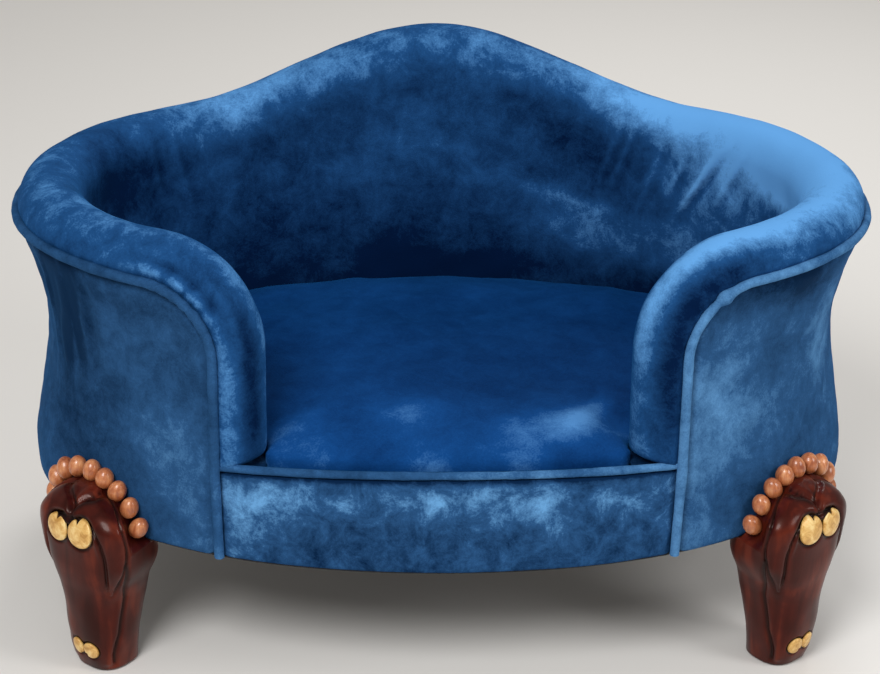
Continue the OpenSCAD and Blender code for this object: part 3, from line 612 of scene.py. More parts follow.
# Patches in the same flat coordinates: crushed nap, and painted light and shade, as the painted highlight
# along the roll's top, the painted shadow beside the arms' welts and the painted shade at the foot of the
# wall
inside_nap_and_shading_patches = [
    (-0.20, 0.055, 0.085, 0.022, 0.27), (0.0, 0.070, 0.10, 0.022, 0.10), (0.20, 0.062, 0.08, 0.026, 0.40),
    (0.33, 0.055, 0.11, 0.034, 0.42), (0.47, 0.060, 0.11, 0.045, 0.46), (0.62, 0.052, 0.07, 0.022, 0.38),
    (0.71, 0.048, 0.06, 0.014, 0.34), (0.79, 0.044, 0.06, 0.012, 0.14), (0.76, 0.015, 0.10, 0.014, -0.46),
    (-0.42, 0.045, 0.06, 0.022, 0.14), (-0.36, 0.098, 0.06, 0.022, -0.14), (-0.60, 0.045, 0.12, 0.025, 0.12),
    (-0.72, 0.044, 0.04, 0.016, 0.12), (-0.80, 0.012, 0.07, 0.009, 0.10), (-0.79, 0.034, 0.09, 0.012, -0.46),
    (0.02, 0.150, 0.13, 0.030, 0.10), (0.28, 0.120, 0.06, 0.036, 0.24), (0.40, 0.105, 0.07, 0.030, 0.30),
    (0.12, 0.180, 0.09, 0.008, 0.20), (0.22, 0.205, 0.14, 0.030, 0.34), (0.33, 0.150, 0.09, 0.045, 0.20),
    (-0.33, 0.118, 0.05, 0.040, -0.14), (0.0, 0.255, 0.22, 0.032, -0.18), (0.44, 0.098, 0.07, 0.020, 0.40),
    (0.34, 0.110, 0.05, 0.020, 0.12), (0.0, 0.290, 0.60, 0.008, -0.30), (-0.30, 0.110, 0.05, 0.040, 0.06)]
FOLD_HIGHLIGHT, FOLD_SHADE = 80, 55  # how far a metre of a fold's height shifts the colour: painted highlight on a ridge, painted shade in a valley


def inside_press(u, v, points):
    q, s = inside_flat(u, v)
    soft = 0.0011*drift(points, 0.11, 3) + 0.0005*drift(points, 0.04, 4)
    soft = soft*(0.4 + 0.6*ease((s - 0.085)/0.04))
    corner = bell(np.abs(q) - TURN_Q - 0.045, 0.05)*bell(s, 0.024)
    pucker = 0.0006*corner*np.sin(q*2*math.pi/0.014 + 1.5*drift(points, 0.05, 5))
    calm = ease(s/0.006)*ease((ROLL_CLOTH + WALL_CLOTH - s)/0.01)
    return (soft + pucker + pulls(q, s, inside_folds))*calm


def inside_nap_and_shading(u, v, points):
    q, s = inside_flat(u, v)
    # Painted shade: the wall darker than the roll's top and darker again towards the seat, with painted
    # highlights and shade on the folds
    wall = ease((s - 0.085)/0.03)
    fold_highlights_and_shade = pulls(q, s, [(start, end, 1.15*width, height*(FOLD_HIGHLIGHT if height > 0 else FOLD_SHADE))
                         for start, end, width, height in inside_folds])
    return -0.20*wall - 0.12*ease((s - 0.20)/0.08) + patches(q, s, inside_nap_and_shading_patches) + fold_highlights_and_shade


inside = grid_piece("roll_and_wall", 540, 90, inside_place, inside_press, (2*INSIDE_Q, 0.30),
                    light=inside_nap_and_shading)
dressed(thicken(inside, VELVET), velvet_inside, "velvet", "sofa", "inside_cover", "roll_cover",
        "left_roll_foam", "back_roll_foam", "right_roll_foam",
        "left_wall_foam", "back_wall_foam", "right_wall_foam")

# %% [markdown]
# ## Bent panels under the outside
# The outside is pulled over three bent plywood panels, which meet above the rear legs. They are hidden
# when the sofa is finished, but they carry the cloth. The solid model has them too, but its meshes of
# them show stray slivers where two panels meet, which would stand through the velvet. So each is laid
# again here on the same curve, just under the velvet, and given its own thickness and clean edges.

# %% Bent panels
PANEL_T, PANEL_DROP, PANEL_SPLIT = 0.003, 0.0186, 8/18*TURN_START
PANEL_END = ARM_ANGLE - PANEL_DROP*DEG_PER_M


def panel_piece(name, low, high):
    def place(u, v):
        t = high + u*(low - high)
        top = layer_top(t, PANEL_DROP)
        z = BODY_Z + DUST_CLOTH + v*(top - BODY_Z - DUST_CLOTH)
        return lift(plan_at(t, skin(t, z) - VELVET - FIT), z)
    return thicken(grid_piece(name, 60, 50, place), PANEL_T)


for side_name, low, high in (("left", -PANEL_END, -PANEL_SPLIT), ("back", -PANEL_SPLIT, PANEL_SPLIT),
                             ("right", PANEL_SPLIT, PANEL_END)):
    panel = panel_piece(side_name + "_bent_panel", low, high)
    dressed(panel, by_slot["bent_panel"], "bent_panel", "sofa", side_name + "_outer_panel")

# %% [markdown]
# ## The outside and the apron
# The outside is one strip of velvet pulled over the bent panels, tight at the back and a little loose
# at the left arm, and stapled under the base. The apron is a second strip between the arms' seams,
# which turns in over the front board under the cushion.

# %% Outside
COVER_END = ARM_ANGLE - COVER_DROP*DEG_PER_M
UNDER_TURNING, SEAM_TURNING = 0.010, 0.010
UNDER_SHARE, COVER_ROUND, TUCK_DEPTH, TUCK_WIDTH = 0.05, 0.0035, 0.0040, 0.0042
GIRTH_Z = 0.25  # the height at which the cloth's way round the body is measured
table_outside_t = np.linspace(0, COVER_END, 300)
table_outside_q = distances(plan_at(table_outside_t, skin(table_outside_t, GIRTH_Z)))
OUTSIDE_Q = table_outside_q[-1]


def outside_angle(u):
    q = (0.5 - u)*2*OUTSIDE_Q
    return np.sign(q)*np.interp(np.abs(q), table_outside_q, table_outside_t)


def outside_place(u, v):
    t = outside_angle(u)
    under = np.clip(1 - v/UNDER_SHARE, 0, 1)
    rise = np.clip((v - UNDER_SHARE)/(1 - UNDER_SHARE), 0, 1)
    top = layer_top(t, COVER_DROP)
    z = BODY_Z + rise*(top - BODY_Z)
    edge = rounding(z - BODY_Z, COVER_ROUND)
    along = (np.abs(t) - TURN_START)/DEG_PER_M
    to_end = TURN_R - COVER_DROP - along
    gap = np.minimum(top - z, np.clip(to_end, 0, None))
    tuck = TUCK_DEPTH*bell(np.clip(gap, 0, None), TUCK_WIDTH)
    return lift(plan_at(t, skin(t, z) - edge - tuck - UNDER_TURNING*under), z)


def outside_press(u, v, points):
    t, z = outside_angle(u), points[:, 2]
    inner = ease(v/0.12)*ease((1 - v)/0.04)*ease((COVER_END - np.abs(t))/3)
    soft = 0.0008*drift(points, 0.10, 13) + 0.0003*drift(points, 0.03, 14)
    left = bell(t + 112, 14)*bell(z - 0.31, 0.05)
    drape = 0.0022*left*np.sin(t*2*math.pi/6.5 + 1.2*drift(points, 0.07, 15))
    return np.maximum((soft + drape)*inner, -0.0004*inner)


def outside_nap_and_shading(u, v, points):
    t, z = outside_angle(u), points[:, 2]
    # Painted light on the right side, and painted shade in streaks where the left side drapes
    right = ease((t - 60)/50)
    streaks = np.abs(drift(points*np.array([1, 1, 0.2]), 0.05, 16))
    left_drape_shade = bell(t + 117, 9)*bell(z - 0.315, 0.05)*(0.35 + 0.65*streaks)
    # Angle and height of each patch, its size both ways and its strength; the dark one at 131 degrees is a
    # painted shadow under the right arm's welt
    spots = [(-145, 0.20, 12, 0.08, 0.10), (-128, 0.30, 12, 0.05, 0.03), (131, 0.362, 14, 0.026, -0.52),
             (137, 0.165, 8, 0.030, -0.18), (128, 0.24, 10, 0.030, 0.06), (146, 0.26, 8, 0.05, 0.06),
             (113, 0.285, 8, 0.050, 0.30)]
    return -0.11 + 0.17*right - 0.78*left_drape_shade + patches(t, z, spots)


outside = grid_piece("outside_velvet", 520, 74, outside_place, outside_press, (2*OUTSIDE_Q, 0.26),
                     light=outside_nap_and_shading)
dressed(thicken(outside, VELVET), velvet_outside, "velvet", "sofa", "outside_cover")

# %% Apron
APRON_END = ARM_ANGLE - (WELT_DROP - 0.2*WELT_R)*DEG_PER_M
APRON_HOOK = 0.0171
APRON_ROUND_LOW, APRON_ROUND_HIGH, END_TUCK = 0.003, 0.0045, 0.0035
apron_length = distances(plan_at(np.linspace(APRON_END, 360 - APRON_END, 200), 0.0))[-1]


def signed(t):
    return np.where(t > 180, t - 360, t)


def apron_place(u, v):
    t = 360 - APRON_END + u*(2*APRON_END - 360)
    s = signed(t)
    under = np.clip(1 - v/0.07, 0, 1)
    rise = np.clip((v - 0.07)/0.73, 0, 1)
    fold = np.clip((v - 0.80)/0.20, 0, 1)
    low, high = skin(s, np.array(BODY_Z)), skin(s, np.array(APRON_Z))
    z = BODY_Z + rise*APRON_H
    edges = rounding(z - BODY_Z, APRON_ROUND_LOW) + rounding(APRON_Z - z, APRON_ROUND_HIGH)
    out = low + rise*(high - low) - edges - UNDER_TURNING*under
    # the ends tuck under the arms' welts, and the top turns in as far as the roll's ends need it
    from_end = (np.abs(s) - APRON_END)/DEG_PER_M
    out -= END_TUCK*bell(from_end, 0.0045)*(1 - fold)
    along = (np.abs(s) - ARM_ANGLE)/DEG_PER_M
    beneath = ROLL_IN + np.sqrt(np.clip(ROLL_R**2 - along**2, 0, None)) - 0.001
    inwards = np.minimum(out - (APRON_HOOK - APRON_ROUND_HIGH), np.where(np.abs(along) < ROLL_R, -beneath, 1))
    return lift(plan_at(s, out + fold*(inwards - out)), z)


def apron_press(u, v, points):
    inner = ease(v/0.14)*ease((0.80 - v)/0.08)*ease(u/0.02)*ease((1 - u)/0.02)
    soft = 0.0008*drift(points, 0.09, 21) + 0.0004*drift(points*np.array([0.35, 1, 1]), 0.03, 22)
    return np.maximum(soft*inner, -0.0003*inner)


def apron_nap_and_shading(u, v, points):
    x, z = points[:, 0], points[:, 2]
    spots = [(-0.14, 0.190, 0.06, 0.016, 0.30), (-0.02, 0.194, 0.05, 0.012, 0.20),
             (0.12, 0.188, 0.08, 0.018, 0.30), (0.03, 0.165, 0.04, 0.015, -0.10),
             (-0.06, 0.170, 0.03, 0.018, -0.08), (0.0, 0.136, 0.30, 0.020, -0.02)]
    # Painted shadow along the top, under the welt, and lighter and darker patches
    return -0.10 - 0.45*bell(z - APRON_Z + 0.001, 0.003) + patches(x, z, spots)


apron = grid_piece("apron_velvet", 150, 46, apron_place, apron_press, (apron_length, 0.12), light=apron_nap_and_shading)
dressed(thicken(apron, VELVET), velvet_apron, "velvet", "sofa", "apron_cover", "apron_pad")

# %% [markdown]
# ## Welts
# A welt is a cord sewn into a folded strip of the same velvet. One runs under the whole roll and down
# both arm fronts, the other along the top of the apron. Each is a tube swept along the seam, with the
# slight waviness that a sewn cord has.

# %% Welts
def cord_piece(name, along, path, radius, length, seed, knot=lambda u: 0):
    def place(u, v):
        centre, out, up = path(u)
        angle = 2*math.pi*v
        wave = radius*(1 + 0.04*drift(centre, 0.045, seed) + 0.02*drift(centre, 0.012, seed + 1) + knot(u))
        return centre + (wave*np.cos(angle))[:, None]*out + (wave*np.sin(angle))[:, None]*up
    return grid_piece(name, along, 16, place, None, (length, 2*math.pi*radius), joined=True, light=welt_painted_light)


def welt_painted_light(u, v, points):
    """Painted light: the welts are lighter towards the right arm and darker towards the left one"""
    return -0.06 + 0.24*ease((points[:, 0] + 0.05)/0.2)


WELT_Q = DOWN_Q + ARM_TURN_Z - (BODY_Z + DUST_CLOTH + FIT)
WELT_PROUD = 0.0012  # how far a welt stands out of its seam


def roll_welt_path(u):
    q = (0.5 - u)*2*WELT_Q
    on_roll = np.clip(q, -DOWN_Q, DOWN_Q)
    t, turn, _ = roll_station(on_roll)
    ones = np.ones(len(q))
    centre = roll_point(on_roll, WELT_REACH*math.cos(WELT_BEARING)*ones, -WELT_DROP*ones)
    down = np.clip(np.abs(q) - DOWN_Q, 0, None)
    draw = BROW_OUT*(1 - apron_rise(ARM_TURN_Z - down))*(down > 0)
    n = plan_normal(t)
    centre[:, :2] -= draw[:, None]*n
    centre[:, 2] -= down
    out = lift(n, 0.0)
    up = lift(plan_forward(t)*np.sin(turn)[:, None], np.cos(turn))
    return centre + WELT_PROUD*out, out, up


def welt_knots(u):
    """A thick folded joint at the right arm, and small puckers at the left one"""
    q = (0.5 - u)*2*WELT_Q
    left = bell(q + 0.71, 0.03)*np.sin(q*2*math.pi/0.011)
    return 0.55*bell(q - 0.703, 0.005) - 0.25*bell(q - 0.712, 0.003) + 0.12*left


roll_welt = cord_piece("roll_welt", 620, roll_welt_path, WELT_R, 2*WELT_Q, 31, welt_knots)
dressed(roll_welt, velvet_outside, "velvet", "sofa", "roll_piping")


def apron_welt_path(u):
    s = signed(360 - APRON_END + u*(2*APRON_END - 360))
    out = skin(s, np.array(APRON_Z)) - APRON_WELT_R + WELT_PROUD
    centre = lift(plan_at(s, out), APRON_Z + APRON_WELT_R)
    return centre, lift(plan_normal(s), 0.0), np.broadcast_to([0.0, 0.0, 1.0], centre.shape)


apron_welt = cord_piece("apron_welt", 150, apron_welt_path, APRON_WELT_R, apron_length, 33)
dressed(apron_welt, velvet_outside, "velvet", "sofa", "apron_piping")

# %% [markdown]
# ## The seat cushion
# The cushion is cut to the inside of the wall, and its front edge comes up to the welt. A crowned form
# is remeshed into even cells and blown up a little as a cloth, so that its top swells and its edges
# round by themselves. It may move four millimetres at most, because the wall is close around it.
# Underneath, a slot keeps the zip open to view.

# %% Cushion
CUSHION_Z = SEAT_Z + FIT
CUSHION_REACH = ROLL_IN + ROLL_R + 0.002
CUSHION_SIDE, CROWN, CELL, BLOWN_AT_MOST = 0.034, 0.0155, 0.005, 0.004
FRONT_START, FRONT_END = 157, 180  # angles between which the cushion meets the apron


def cushion_edge():
    """The cushion's outline seen from above, right half and then left half"""
    points = [plan_at(np.array(i*ARM_ANGLE/14), -CUSHION_REACH) for i in range(14)]
    arm = np.array(float(ARM_ANGLE))
    for i in range(7):
        a, r = math.radians(180 - 15*i), ROLL_R + 0.0005
        round_arm = math.cos(a)*plan_normal(arm) + math.sin(a)*plan_forward(arm)
        points.append(plan_at(arm, -ROLL_IN) + r*round_arm)
    for i in range(6):
        t = np.array(FRONT_START + i*(FRONT_END - FRONT_START)/5)
        points.append(plan_at(t, skin(t, np.array(APRON_Z)) - APRON_HOOK - FIT))
    right = np.array(points)
    return np.concatenate([right, right[-2:0:-1]*[-1, 1]])


edge = cushion_edge()
closed_edge = np.vstack([edge, edge[:1]])
edge_q = distances(closed_edge)
cushion_mid = np.array([0.0, (edge[:, 1].max() + edge[:, 1].min())/2])


def cushion_place(u, v):
    at_q = (1 - u)*edge_q[-1]
    rim = np.stack([np.interp(at_q, edge_q, closed_edge[:, i]) for i in (0, 1)], -1)
    # v runs from the middle of the underside, round the side, to the middle of the top
    reach = np.interp(v, [0, 0.36, 0.40, 0.44, 0.47, 0.49, 0.51, 1],
                      [0, 0.97, 0.998, 1.004, 1.004, 0.998, 0.980, 0])
    height = np.interp(v, [0, 0.36, 0.375, 0.40, 0.44, 0.47, 0.49, 0.51],
                       [0.0006, 0.0006, 0.002, 0.007, 0.026, 0.034, 0.0375, 0.0395])
    crown = CROWN*(1 - (reach/0.980).clip(0, 1)**3.4)*(v > 0.51)
    return lift(cushion_mid + reach[:, None]*(rim - cushion_mid), CUSHION_Z + height + crown)


def applied(piece, modifier):
    """Makes what a modifier does part of the mesh"""
    bpy.context.view_layer.objects.active = piece
    bpy.ops.object.modifier_apply(modifier=modifier.name)


def cushion_piece():
    shape = grid_piece("seat_cushion", 200, 100, cushion_place, None, joined=True)
    remesh = shape.modifiers.new("Even cells", "REMESH")
    remesh.mode, remesh.voxel_size = "VOXEL", CELL
    applied(shape, remesh)
    before = points_of(shape.data)
    after = before.copy()
    cloth = shape.modifiers.new("Blown up", "CLOTH")
    cloth.settings.use_pressure = True
    cloth.settings.uniform_pressure_force = 4
    cloth.settings.effector_weights.gravity = 0
    cloth.settings.quality = 4
    cloth.settings.tension_stiffness = cloth.settings.compression_stiffness = 12
    cloth.settings.bending_stiffness = 0.6
    cloth.point_cache.frame_start, cloth.point_cache.frame_end = 1, 20
    for step in range(1, 21):
        bpy.context.scene.frame_set(step)
    after = points_of(shape.evaluated_get(bpy.context.evaluated_depsgraph_get()).data)
    shape.modifiers.remove(cloth)
    bpy.context.scene.frame_set(1)
    move = after - before
    far = np.linalg.norm(move, axis=1, keepdims=True)
    move *= np.minimum(1, BLOWN_AT_MOST/(far + 1e-9))
    # the underside stays flat, and the sides next to the wall move little
    low = ease((before[:, 2] - CUSHION_Z - 0.002)/0.012)[:, None]
    side = 1 - ease((before[:, 2] - CUSHION_Z - CUSHION_SIDE)/0.008)[:, None]
    move[:, :2] *= 1 - 0.75*side
    after = before + move*low
    # Light pulls across the seat's front right, and the softness of the stuffing
    x, y, z = after.T
    top = ease((z - CUSHION_Z - CUSHION_SIDE)/0.010)
    press = 0.0014*drift(after, 0.15, 41) + 0.0006*drift(after, 0.05, 42)
    press += pulls(x, y, seat_folds)
    after[:, 2] += top*press
    move_to(shape.data, after)
    shape.data.update()
    finer = shape.modifiers.new("Finer cells", "SUBSURF")
    finer.levels = finer.render_levels = 1
    applied(shape, finer)
    return shape


seat_folds = [((0.11, -0.18), (0.16, -0.10), 0.006, -0.0014),
              ((0.05, -0.20), (0.14, -0.15), 0.008, -0.0010),
              ((0.10, -0.19), (0.15, -0.11), 0.007, 0.0014)]
cushion = cushion_piece()

# %% The zip's slot under the cushion, and the seat's painted nap, light and shade
SLOT_WIDTH, SLOT_OVER, SLOT_BELOW = 0.010, 0.001, 0.006
zip_low, zip_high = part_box("zip_tape")
slot_cut = bmesh.new()
bmesh.ops.create_cube(slot_cut, size=1)
slot_size = Vector((zip_high[0] - zip_low[0] + SLOT_OVER, SLOT_WIDTH, zip_high[2] - CUSHION_Z + 0.010))
for corner in slot_cut.verts:
    corner.co = Vector((corner.co.x*slot_size.x, corner.co.y*slot_size.y + (zip_low[1] + zip_high[1])/2,
                        (corner.co.z + 0.5)*slot_size.z + CUSHION_Z - SLOT_BELOW))
slot_piece = linked("zip_slot_cut", mesh_from("zip slot", slot_cut))
cut = cushion.modifiers.new("Zip slot", "BOOLEAN")
cut.object, cut.operation, cut.solver = slot_piece, "DIFFERENCE", "EXACT"
applied(cushion, cut)
bpy.data.objects.remove(slot_piece, do_unlink=True)
shade_smooth(cushion.data)
for old in [a for a in cushion.data.attributes if a.name == "lie"]:
    cushion.data.attributes.remove(old)
seat_points = points_of(cushion.data).astype(float)
seat_x, seat_y = seat_points[:, 0], seat_points[:, 1]
# Painted light and shade on the seat: a painted highlight along the front, where the cushion rounds down,
# lighter towards the back, and a painted highlight and shade along the folds at the front right, with a few
# patches
front = ease((-0.125 - seat_y)/0.05)
nap_spots = [(0.12, -0.168, 0.055, 0.035, 0.26), (-0.14, -0.19, 0.05, 0.02, 0.10)]
seat_fold_highlight_and_shade = [((0.100, -0.190), (0.150, -0.110), 0.010, 0.14),
             ((0.122, -0.190), (0.165, -0.120), 0.010, -0.12)]
nap = (-0.17 + 0.25*front*(0.6 + 0.4*drift(seat_points, 0.06, 44)) + patches(seat_x, seat_y, nap_spots)
       + 0.10*bell(seat_y - 0.10, 0.07) + pulls(seat_x, seat_y, seat_fold_highlight_and_shade))
paint(cushion.data, "lie", nap)
dressed(cushion, velvet_seat, "velvet", "cushion", "cushion_cover", "cushion_foam")

# %% [markdown]
# ## Carved legs
# Each leg is one block of mahogany. It swells from a slim foot to a broad knee that rises in front of
# the velvet, with a long groove between its front and its side faces, and a scroll on each side that
# hugs the gold inlays and runs out in a pointed tail. The form is a grid wrapped round the leg, one
# row for each millimetre or so of height, and the carving is pressed into it along its surface.

# %% The leg's form
LEG_H, KNEE_HALF, KNEE_OUT, LEG_ANGLE = 0.174, 0.053, 0.050, 129.0
LEG_GAP, GLIDE, JOIN = 0.0006, 0.002, 0.001  # gap to the velvet, glide, and where the knee's rows start
SQUARENESS = 2.6  # 2 would make the leg's section an ellipse, and more makes it squarer
leg_angle = np.array(LEG_ANGLE)
leg_front = plan_normal(leg_angle)
leg_side = np.array([-leg_front[1], leg_front[0]])
leg_origin = plan_at(leg_angle, 0.0)
# Height; middle and half width of the front part, the same of the back part; front and back reach
leg_rows = np.array([
    [0.000, 0, 0.45, 0, 0.45, 0.69, -0.27], [0.050, 0, 0.48, 0, 0.48, 0.75, -0.27],
    [0.140, 0, 0.52, 0, 0.52, 0.82, -0.29], [0.270, 0, 0.54, 0, 0.54, 0.89, -0.40],
    [0.400, 0, 0.58, 0, 0.58, 0.92, -0.54], [0.480, 0, 0.65, 0, 0.65, 0.95, -0.56],
    [0.550, 0, 0.77, 0, 0.77, 0.98, -0.58], [0.640, 0, 0.90, 0.06, 0.93, 1.00, -0.63]])
leg_rows[:, 0] = GLIDE + leg_rows[:, 0]*(LEG_H - GLIDE)
knee_rows = np.array([
    [0.000, 0, 0.95, 0.13, 0.99, 1.00, -0.58], [0.080, 0, 0.95, 0.16, 0.90, 1.00, -0.50],
    [0.170, 0, 0.95, 0.20, 0.83, 1.00, -0.42], [0.250, 0, 0.95, 0.23, 0.83, 1.00, -0.36],
    [0.460, 0.01, 0.93, 0.23, 0.80, 0.98, -0.25], [0.650, 0.03, 0.82, 0.23, 0.69, 0.90, -0.20],
    [0.800, 0.08, 0.62, 0.23, 0.53, 0.75, -0.20], [0.920, 0.13, 0.37, 0.23, 0.29, 0.58, -0.20],
    [1.000, 0.18, 0.15, 0.23, 0.12, 0.40, -0.20]])
knee_rows[:, 0] = BODY_Z + knee_rows[:, 0]*(LEG_H - BODY_Z)


def gliding(x, xs, ys):
    """Smooth curve through points, without overshoot"""
    step, rise = np.diff(xs), np.diff(ys)
    slope = rise/step
    tangent = np.zeros(len(xs))
    same = slope[1:]*slope[:-1] > 0
    tangent[1:-1][same] = 2*slope[1:][same]*slope[:-1][same]/(slope[1:] + slope[:-1])[same]
    tangent[0], tangent[-1] = slope[0], slope[-1]
    i = np.clip(np.searchsorted(xs, x) - 1, 0, len(xs) - 2)
    f = np.clip((x - xs[i])/step[i], 0, 1)
    return (ys[i]*(1 + 2*f)*(1 - f)**2 + tangent[i]*step[i]*f*(1 - f)**2
            + ys[i + 1]*f*f*(3 - 2*f) + tangent[i + 1]*step[i]*f*f*(f - 1))


def leg_measure(z, column):
    low = gliding(z, np.append(leg_rows[:, 0], BODY_Z - JOIN),
                  np.append(leg_rows[:, column], knee_rows[0, column]))
    high = gliding(z, knee_rows[:, 0], knee_rows[:, column])
    return np.where(z < BODY_Z - JOIN, low, high)


skin_angles = np.arange(LEG_ANGLE - 36, LEG_ANGLE + 37, 2.0)


def behind(side, z):
    """How far forward the velvet lies behind the knee"""
    front = np.empty(len(z))
    levels, where = np.unique(np.round(z, 4), return_inverse=True)
    for k, level in enumerate(levels):
        out = skin(skin_angles, np.full(len(skin_angles), level)) + LEG_GAP
        here = plan_at(skin_angles, out) - leg_origin
        order = np.argsort(here @ leg_side)
        mine = where == k
        front[mine] = np.interp(side[mine], (here @ leg_side)[order], (here @ leg_front)[order])
    return front


def leg_surface(angle, z):
    """Side and front distances round the leg, angle 0 in front"""
    part = ease((np.cos(angle) + 0.2)/0.6)
    shift = leg_measure(z, 3) + (leg_measure(z, 1) - leg_measure(z, 3))*part
    half = leg_measure(z, 4) + (leg_measure(z, 2) - leg_measure(z, 4))*part
    side = (shift + half*power(np.sin(angle), 2/SQUARENESS))*KNEE_HALF
    reach, back = leg_measure(z, 5)*KNEE_OUT, leg_measure(z, 6)*KNEE_OUT
    front = (reach + back)/2 + (reach - back)/2*power(np.cos(angle), 2/SQUARENESS)
    return side, np.where(z > BODY_Z - JOIN, np.maximum(front, behind(side, z)), front)


# Distance round the leg from its front line, for every height and angle
round_z = np.linspace(GLIDE, LEG_H, 140)
round_angles = np.linspace(0, math.pi, 121)
round_table = np.zeros((len(round_z), len(round_angles)))
for row, level in enumerate(round_z):
    outline = np.stack(leg_surface(round_angles, np.full(len(round_angles), level)), -1)
    round_table[row] = distances(outline)


def way_round(angle, z):
    """Distance round the leg from its front line, signed like the angle"""
    row = np.clip((z - GLIDE)/(round_z[1] - round_z[0]), 0, len(round_z) - 1.001)
    column = np.clip(np.abs(angle)/(round_angles[1] - round_angles[0]), 0, len(round_angles) - 1.001)
    i, j = row.astype(int), column.astype(int)
    f, g = row - i, column - j
    low = round_table[i, j]*(1 - g) + round_table[i, j + 1]*g
    high = round_table[i + 1, j]*(1 - g) + round_table[i + 1, j + 1]*g
    return np.sign(angle)*(low*(1 - f) + high*f)


# The scroll's middle line beside the gold: distance round the leg and height, and half its width
scroll_marks = np.array([[0.003, 0.1585, 0.0030], [0.011, 0.1625, 0.0050], [0.021, 0.1625, 0.0070],
                         [0.031, 0.1585, 0.0088], [0.039, 0.1500, 0.0100], [0.044, 0.1385, 0.0102],
                         [0.045, 0.1260, 0.0090], [0.0435, 0.1135, 0.0070], [0.040, 0.1000, 0.0044],
                         [0.035, 0.0840, 0.0008]])
scroll_steps = np.linspace(0, len(scroll_marks) - 1, 40)
scroll = np.stack([gliding(scroll_steps, np.arange(len(scroll_marks)), column)
                   for column in scroll_marks.T], -1)
# Gold inlays: side and height of the middle, half width, half height, tilt and bearing of the notch
inlay_rows = [(-0.0110, 0.1440, 0.0132, 0.0136, -8, 0.35), (0.0158, 0.1424, 0.0128, 0.0125, 8, -0.10),
              (-0.0080, 0.0228, 0.0074, 0.0084, -10, 2.4), (0.0062, 0.0236, 0.0068, 0.0084, 10, -2.6)]


def swept(way, z):
    """Distance from the scroll's middle line, less half its width, and that half width"""
    gap, width = np.full(len(z), 1.0), np.full(len(z), 0.001)
    for (w0, z0, half0), (w1, z1, half1) in zip(scroll[:-1], scroll[1:]):
        away, along = near_line(way, z, (w0, z0), (w1, z1))
        half = half0 + along*(half1 - half0)
        closer = away - half < gap
        gap, width = np.where(closer, away - half, gap), np.where(closer, half, width)
    return gap, width


def carving(angle, side, z):
    """Height of the carving, and how dark its hollows are"""
    way = way_round(angle, z)
    height, hollow = np.zeros(len(z)), np.zeros(len(z))
    gap, width = swept(np.abs(way), z)
    across = np.clip(1 + gap/width, 0, 1)
    facing = ease((np.cos(angle) + 0.35)/0.3)
    height += 0.0026*facing*np.sqrt(1 - across**2)*np.clip(width/0.007, 0.2, 1)
    rim = bell(gap - 0.0012, 0.0014)*np.clip(width/0.004, 0.2, 1)
    height -= 0.0024*facing*rim
    hollow += 0.85*facing*rim
    # a soft roll outside the scroll, over the knee's shoulder
    height += 0.0011*facing*bell(gap - 0.0045, 0.0022)*ease((z - 0.118)/0.02)
    # a recess round each inlay
    for s0, z0, half_width, half_height, _, _ in inlay_rows:
        ring = np.hypot((side - s0)/half_width, (z - z0)/half_height)
        dark_edge = bell(ring - 1.08, 0.10)
        front = ease((np.cos(angle) - 0.3)/0.2)
        height -= 0.0014*front*np.where(ring < 1.08, 1, dark_edge)
        hollow += front*np.where(ring < 1.08, 0.8, dark_edge)
    # the notch between the two lobes on top of the knee
    centre = (0.03 + 0.12*ease((z - 0.150)/0.024))*KNEE_HALF
    crown = ease((z - 0.146)/0.010)*ease((0.171 - z)/0.008)*ease((np.cos(angle) - 0.2)/0.2)
    notch = bell(side - centre, 0.0020)*crown
    height += 0.0010*bell(np.abs(side - centre) - 0.008, 0.006)*crown - 0.0020*notch
    hollow += 0.4*notch
    # the long groove between the front and the side, from the foot up to the scroll
    groove_at = np.radians(np.interp(z, [0.002, 0.02, 0.04, 0.075, 0.100, 0.118], [62, 64, 78, 82, 74, 67]))
    away = np.abs(way) - np.abs(way_round(groove_at, z))
    fade = ease((z - 0.004)/0.006)*ease((0.122 - z)/0.010)
    groove = bell(away, 0.0020)*fade
    height += 0.0010*bell(away + 0.0060, 0.0035)*fade - 0.0026*groove
    hollow += 0.9*groove
    return height, np.clip(hollow, 0, 1)


def leg_place(u, v):
    angle, z = 2*math.pi*(u - 0.5), GLIDE + v*(LEG_H - GLIDE)
    side, front = leg_surface(angle, z)
    xy = leg_origin + side[:, None]*leg_side + front[:, None]*leg_front
    return lift(xy, z)


def leg_press(u, v, points):
    angle = 2*math.pi*(u - 0.5)
    side = (points[:, :2] - leg_origin) @ leg_side
    height, _ = carving(angle, side, points[:, 2])
    # nothing is pressed into the back of the knee, which stands close to the velvet
    free = 1 - ease((points[:, 2] - BODY_Z + 0.014)/0.014)*(1 - ease((np.cos(angle) + 0.25)/0.3))
    return (height + 0.00020*drift(points, 0.03, 51))*free


def corner_copy(piece, name, side, front):
    """A copy of a front right piece for another corner, mirrored about the middle of the plan"""
    copy = piece.copy()
    copy.data = piece.data.copy()
    copy.name = copy.data.name = name
    bpy.context.scene.collection.objects.link(copy)
    to_middle = Matrix.Translation((0, -PLAN_Y, 0))
    copy.data.transform(to_middle.inverted() @ Matrix.Diagonal((side, front, 1, 1)) @ to_middle)
    if side*front < 0:
        copy.data.flip_normals()
    return copy


OTHER_CORNERS = {"front_left": (-1, 1), "rear_right": (1, -1), "rear_left": (-1, -1)}


